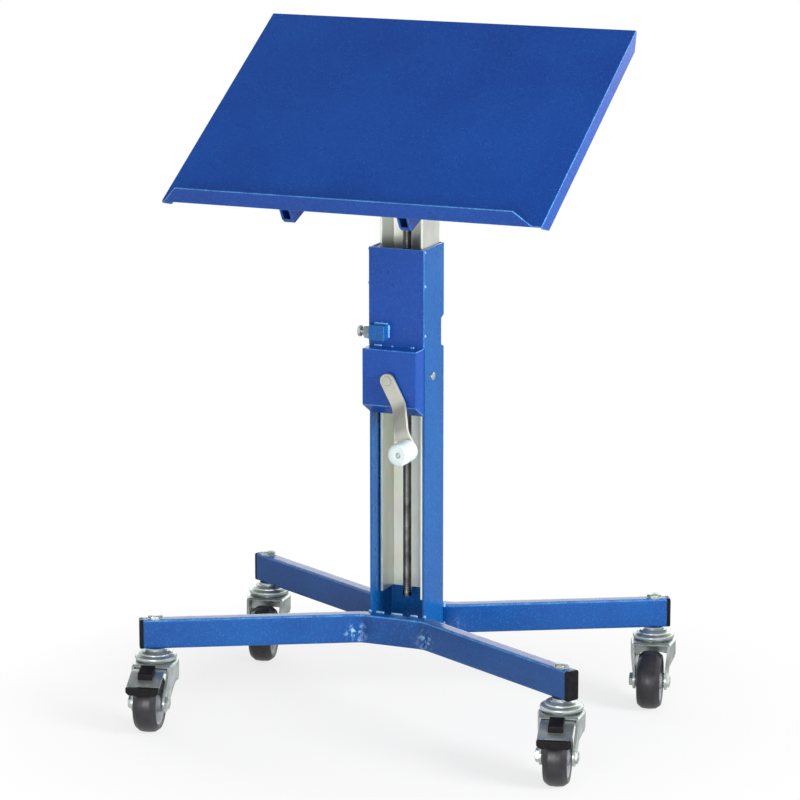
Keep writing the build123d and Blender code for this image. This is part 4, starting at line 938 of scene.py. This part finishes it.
# Beads on both edges of the front panel, round the clamp block, on the housing and where the column meets
# the leg tubes
def makeWelds():
    blockLow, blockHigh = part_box("clamp_block")
    columnLow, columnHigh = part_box("column")
    columnSides = (columnLow[0], columnHigh[0])
    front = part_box("column_front_panel")[0][1]
    made = []
    w = weldLook["panel"]
    y = front + w["behind"]
    for z in w["heights"]:
        for x in columnSides:
            made.append(bead((x, y, z - w["half"]), (x, y, z + w["half"]), w["radius"]))
    w = weldLook["block"]
    y = front - w["proud"]
    left, low = blockLow[0], blockLow[2]
    right, high = blockHigh[0], blockHigh[2]
    for z in (high, low):
        made.append(bead((left + w["inset"], y, z), (right - w["inset"], y, z), w["radius"]))
    for x in (left, right):
        made.append(bead((x, y, low + w["inset"]), (x, y, high - w["inset"]), w["radius"]))
    w = weldLook["housing"]
    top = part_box("gear_housing")[1][2]
    for x, half in w["places"]:
        made.append(bead((x - half, front, top), (x + half, front, top), w["radius"]))
    top = caster["tubeTop"]
    for y in (-weldLook["tube"]["face"], weldLook["tube"]["face"]):
        for start, end in weldLook["tube"]["runs"]:
            made.append(bead((start, y, top), (end, y, top), weldLook["tube"]["radius"]))
        for x in columnSides:
            w = weldLook["foot"]
            made.append(bead((x, y, top - w["below"]), (x, y, top + w["above"]), w["radius"]))
            w = weldLook["inside"]
            made.append(bead((x, y, w["low"]), (x, y, w["high"]), w["radius"]))
    beads = addPiece("weldBeads", shaped(joined("weldBeads", made), crease["weld"]), "base", "blue_coat")
    # The drops take the pale drop paint, a painted glint
    beads.data.materials[0] = paints["drop"]


# The closed side of each fork's pressed bowl
forkBowl = {
    "radius": 0.0285, "wall": 0.0022, "low": 0.0600, "high": 0.0895, "flare": 0.0015, "footRound": 0.0008,
    "spread": 82.0, "rings": 33,
}


# A sheet's profile carried part of the way round the king bolt: point = bolt + radius * outward + height
def makeForkBowls():
    b = forkBowl
    turn = np.radians(np.linspace(-b["spread"], b["spread"], b["rings"]))[:, None, None]
    outward = -np.cos(turn) * trailWay + np.sin(turn) * axleWay
    inner = b["radius"] - b["wall"]
    profile = roundedOutline([
        (inner, b["high"], 0.0), (inner + b["flare"], b["low"], b["footRound"]),
        (b["radius"] + b["flare"], b["low"], b["footRound"]), (b["radius"], b["high"], 0.0),
    ])
    for name, place in casterPlaces.items():
        points = place + profile[:, 0][None, :, None] * outward
        points[..., 2] += profile[:, 1][None]
        mesh = shaped(gridMesh(name + "Bowl", points), crease["turned"])
        addPiece(name + "Bowl", mesh, name + "_swivel", "zinc")


# Crank grip: a turned plastic knob with the domed end of its bolt sunk in the front
gripLook = {
    "core": 0.0005, "radius": 0.0150, "frontRound": 0.0042, "backRound": 0.0040, "bore": 0.0038,
    "boreRound": 0.0006, "recess": 0.0022, "recessRound": 0.0004, "arcSteps": 9, "around": 72,
    "boltCore": 0.0003, "boltEnd": 0.0033, "boltFront": 0.0008, "boltDome": 0.0012, "boltStep": 0.0010,
    "shank": 0.0040, "shankRound": 0.0006, "boltAround": 40,
}


# Outlines of (radius, way back from the grip's front) carried round the grip's axis
def makeGrip():
    g = gripLook
    low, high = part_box("crank_grip")
    middle = ((low[0] + high[0]) / 2, low[1], (low[2] + high[2]) / 2)
    length = high[1] - low[1]
    outline = roundedOutline([
        (g["core"], g["recess"], 0.0), (g["bore"], g["recess"], g["recessRound"]),
        (g["bore"], 0.0, g["boreRound"]), (g["radius"], 0.0, g["frontRound"]),
        (g["radius"], length, g["backRound"]), (g["core"], length, 0.0),
    ], g["arcSteps"])
    knob = shaped(turned("gripKnob", outline, middle, (0, 1, 0), g["around"]), crease["turned"])
    addPiece("gripKnob", knob, "grip", "white_plastic", "crank_grip")
    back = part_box("grip_bolt")[1][1] - low[1]
    step = g["recess"] + g["boltStep"]
    outline = roundedOutline([
        (g["boltCore"], g["boltFront"], 0.0), (g["boltEnd"], g["boltFront"], g["boltDome"]),
        (g["boltEnd"], step, 0.0), (g["shank"], step, 0.0),
        (g["shank"], back, g["shankRound"]), (g["boltCore"], back, 0.0),
    ])
    bolt = shaped(turned("gripBolt", outline, middle, (0, 1, 0), g["boltAround"]), crease["turned"])
    addPiece("gripBolt", bolt, bodyOf["grip_bolt"], "zinc", "grip_bolt")


# Adjusting screw with its lock nut
adjuster = {
    "radius": 0.0040, "lead": 0.00125, "depth": 0.0004, "plain": 0.0, "tip": 0.0012, "around": 24,
    "flats": 0.0130, "head": 0.0040, "chamfer": 0.0009, "turn": 0.25,
    "nutFlats": 0.0168, "nutChamfer": 0.0012, "nutTurn": 0.5,
}


# A threaded rod from the clamp block out to the left, ending in a hexagon head, and a nut on it
def makeAdjuster():
    a = adjuster
    outwards = (-1, 0, 0)
    low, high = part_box("adjusting_screw")
    y = (low[1] + high[1]) / 2
    z = (low[2] + high[2]) / 2
    headStart = low[0] + a["head"]
    rod = threaded("rod", (high[0], y, z), outwards, a["radius"], high[0] - headStart, a)
    head = hexHead("head", (headStart, y, z), outwards, a["flats"], a["head"], a["chamfer"], a["turn"])
    screw = shaped(joined("adjusterScrew", [rod, head]), crease["turned"])
    addPiece("adjusterScrew", screw, "base", "zinc", "adjusting_screw")
    low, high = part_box("lock_nut")
    height = high[0] - low[0]
    place = (high[0], y, z)
    nut = hexHead("lockNut", place, outwards, a["nutFlats"], height, a["nutChamfer"], a["nutTurn"])
    addPiece("lockNut", shaped(nut, crease["bolt"]), "base", "zinc", "lock_nut")


makeSpindle()
makeSwivelHeads()
makeKingBolts()
makeWheels()
makeAxles()
makeForkBowls()
print("stage: spindle and casters")
makeLegTube(-1.0, "frontLegTube", "front_leg_tube")
makeLegTube(1.0, "rearLegTube", "rear_leg_tube")
makeWelds()
print("stage: leg tubes and welds")
makeGrip()
makeAdjuster()
print("stage: grip and adjusting screw")
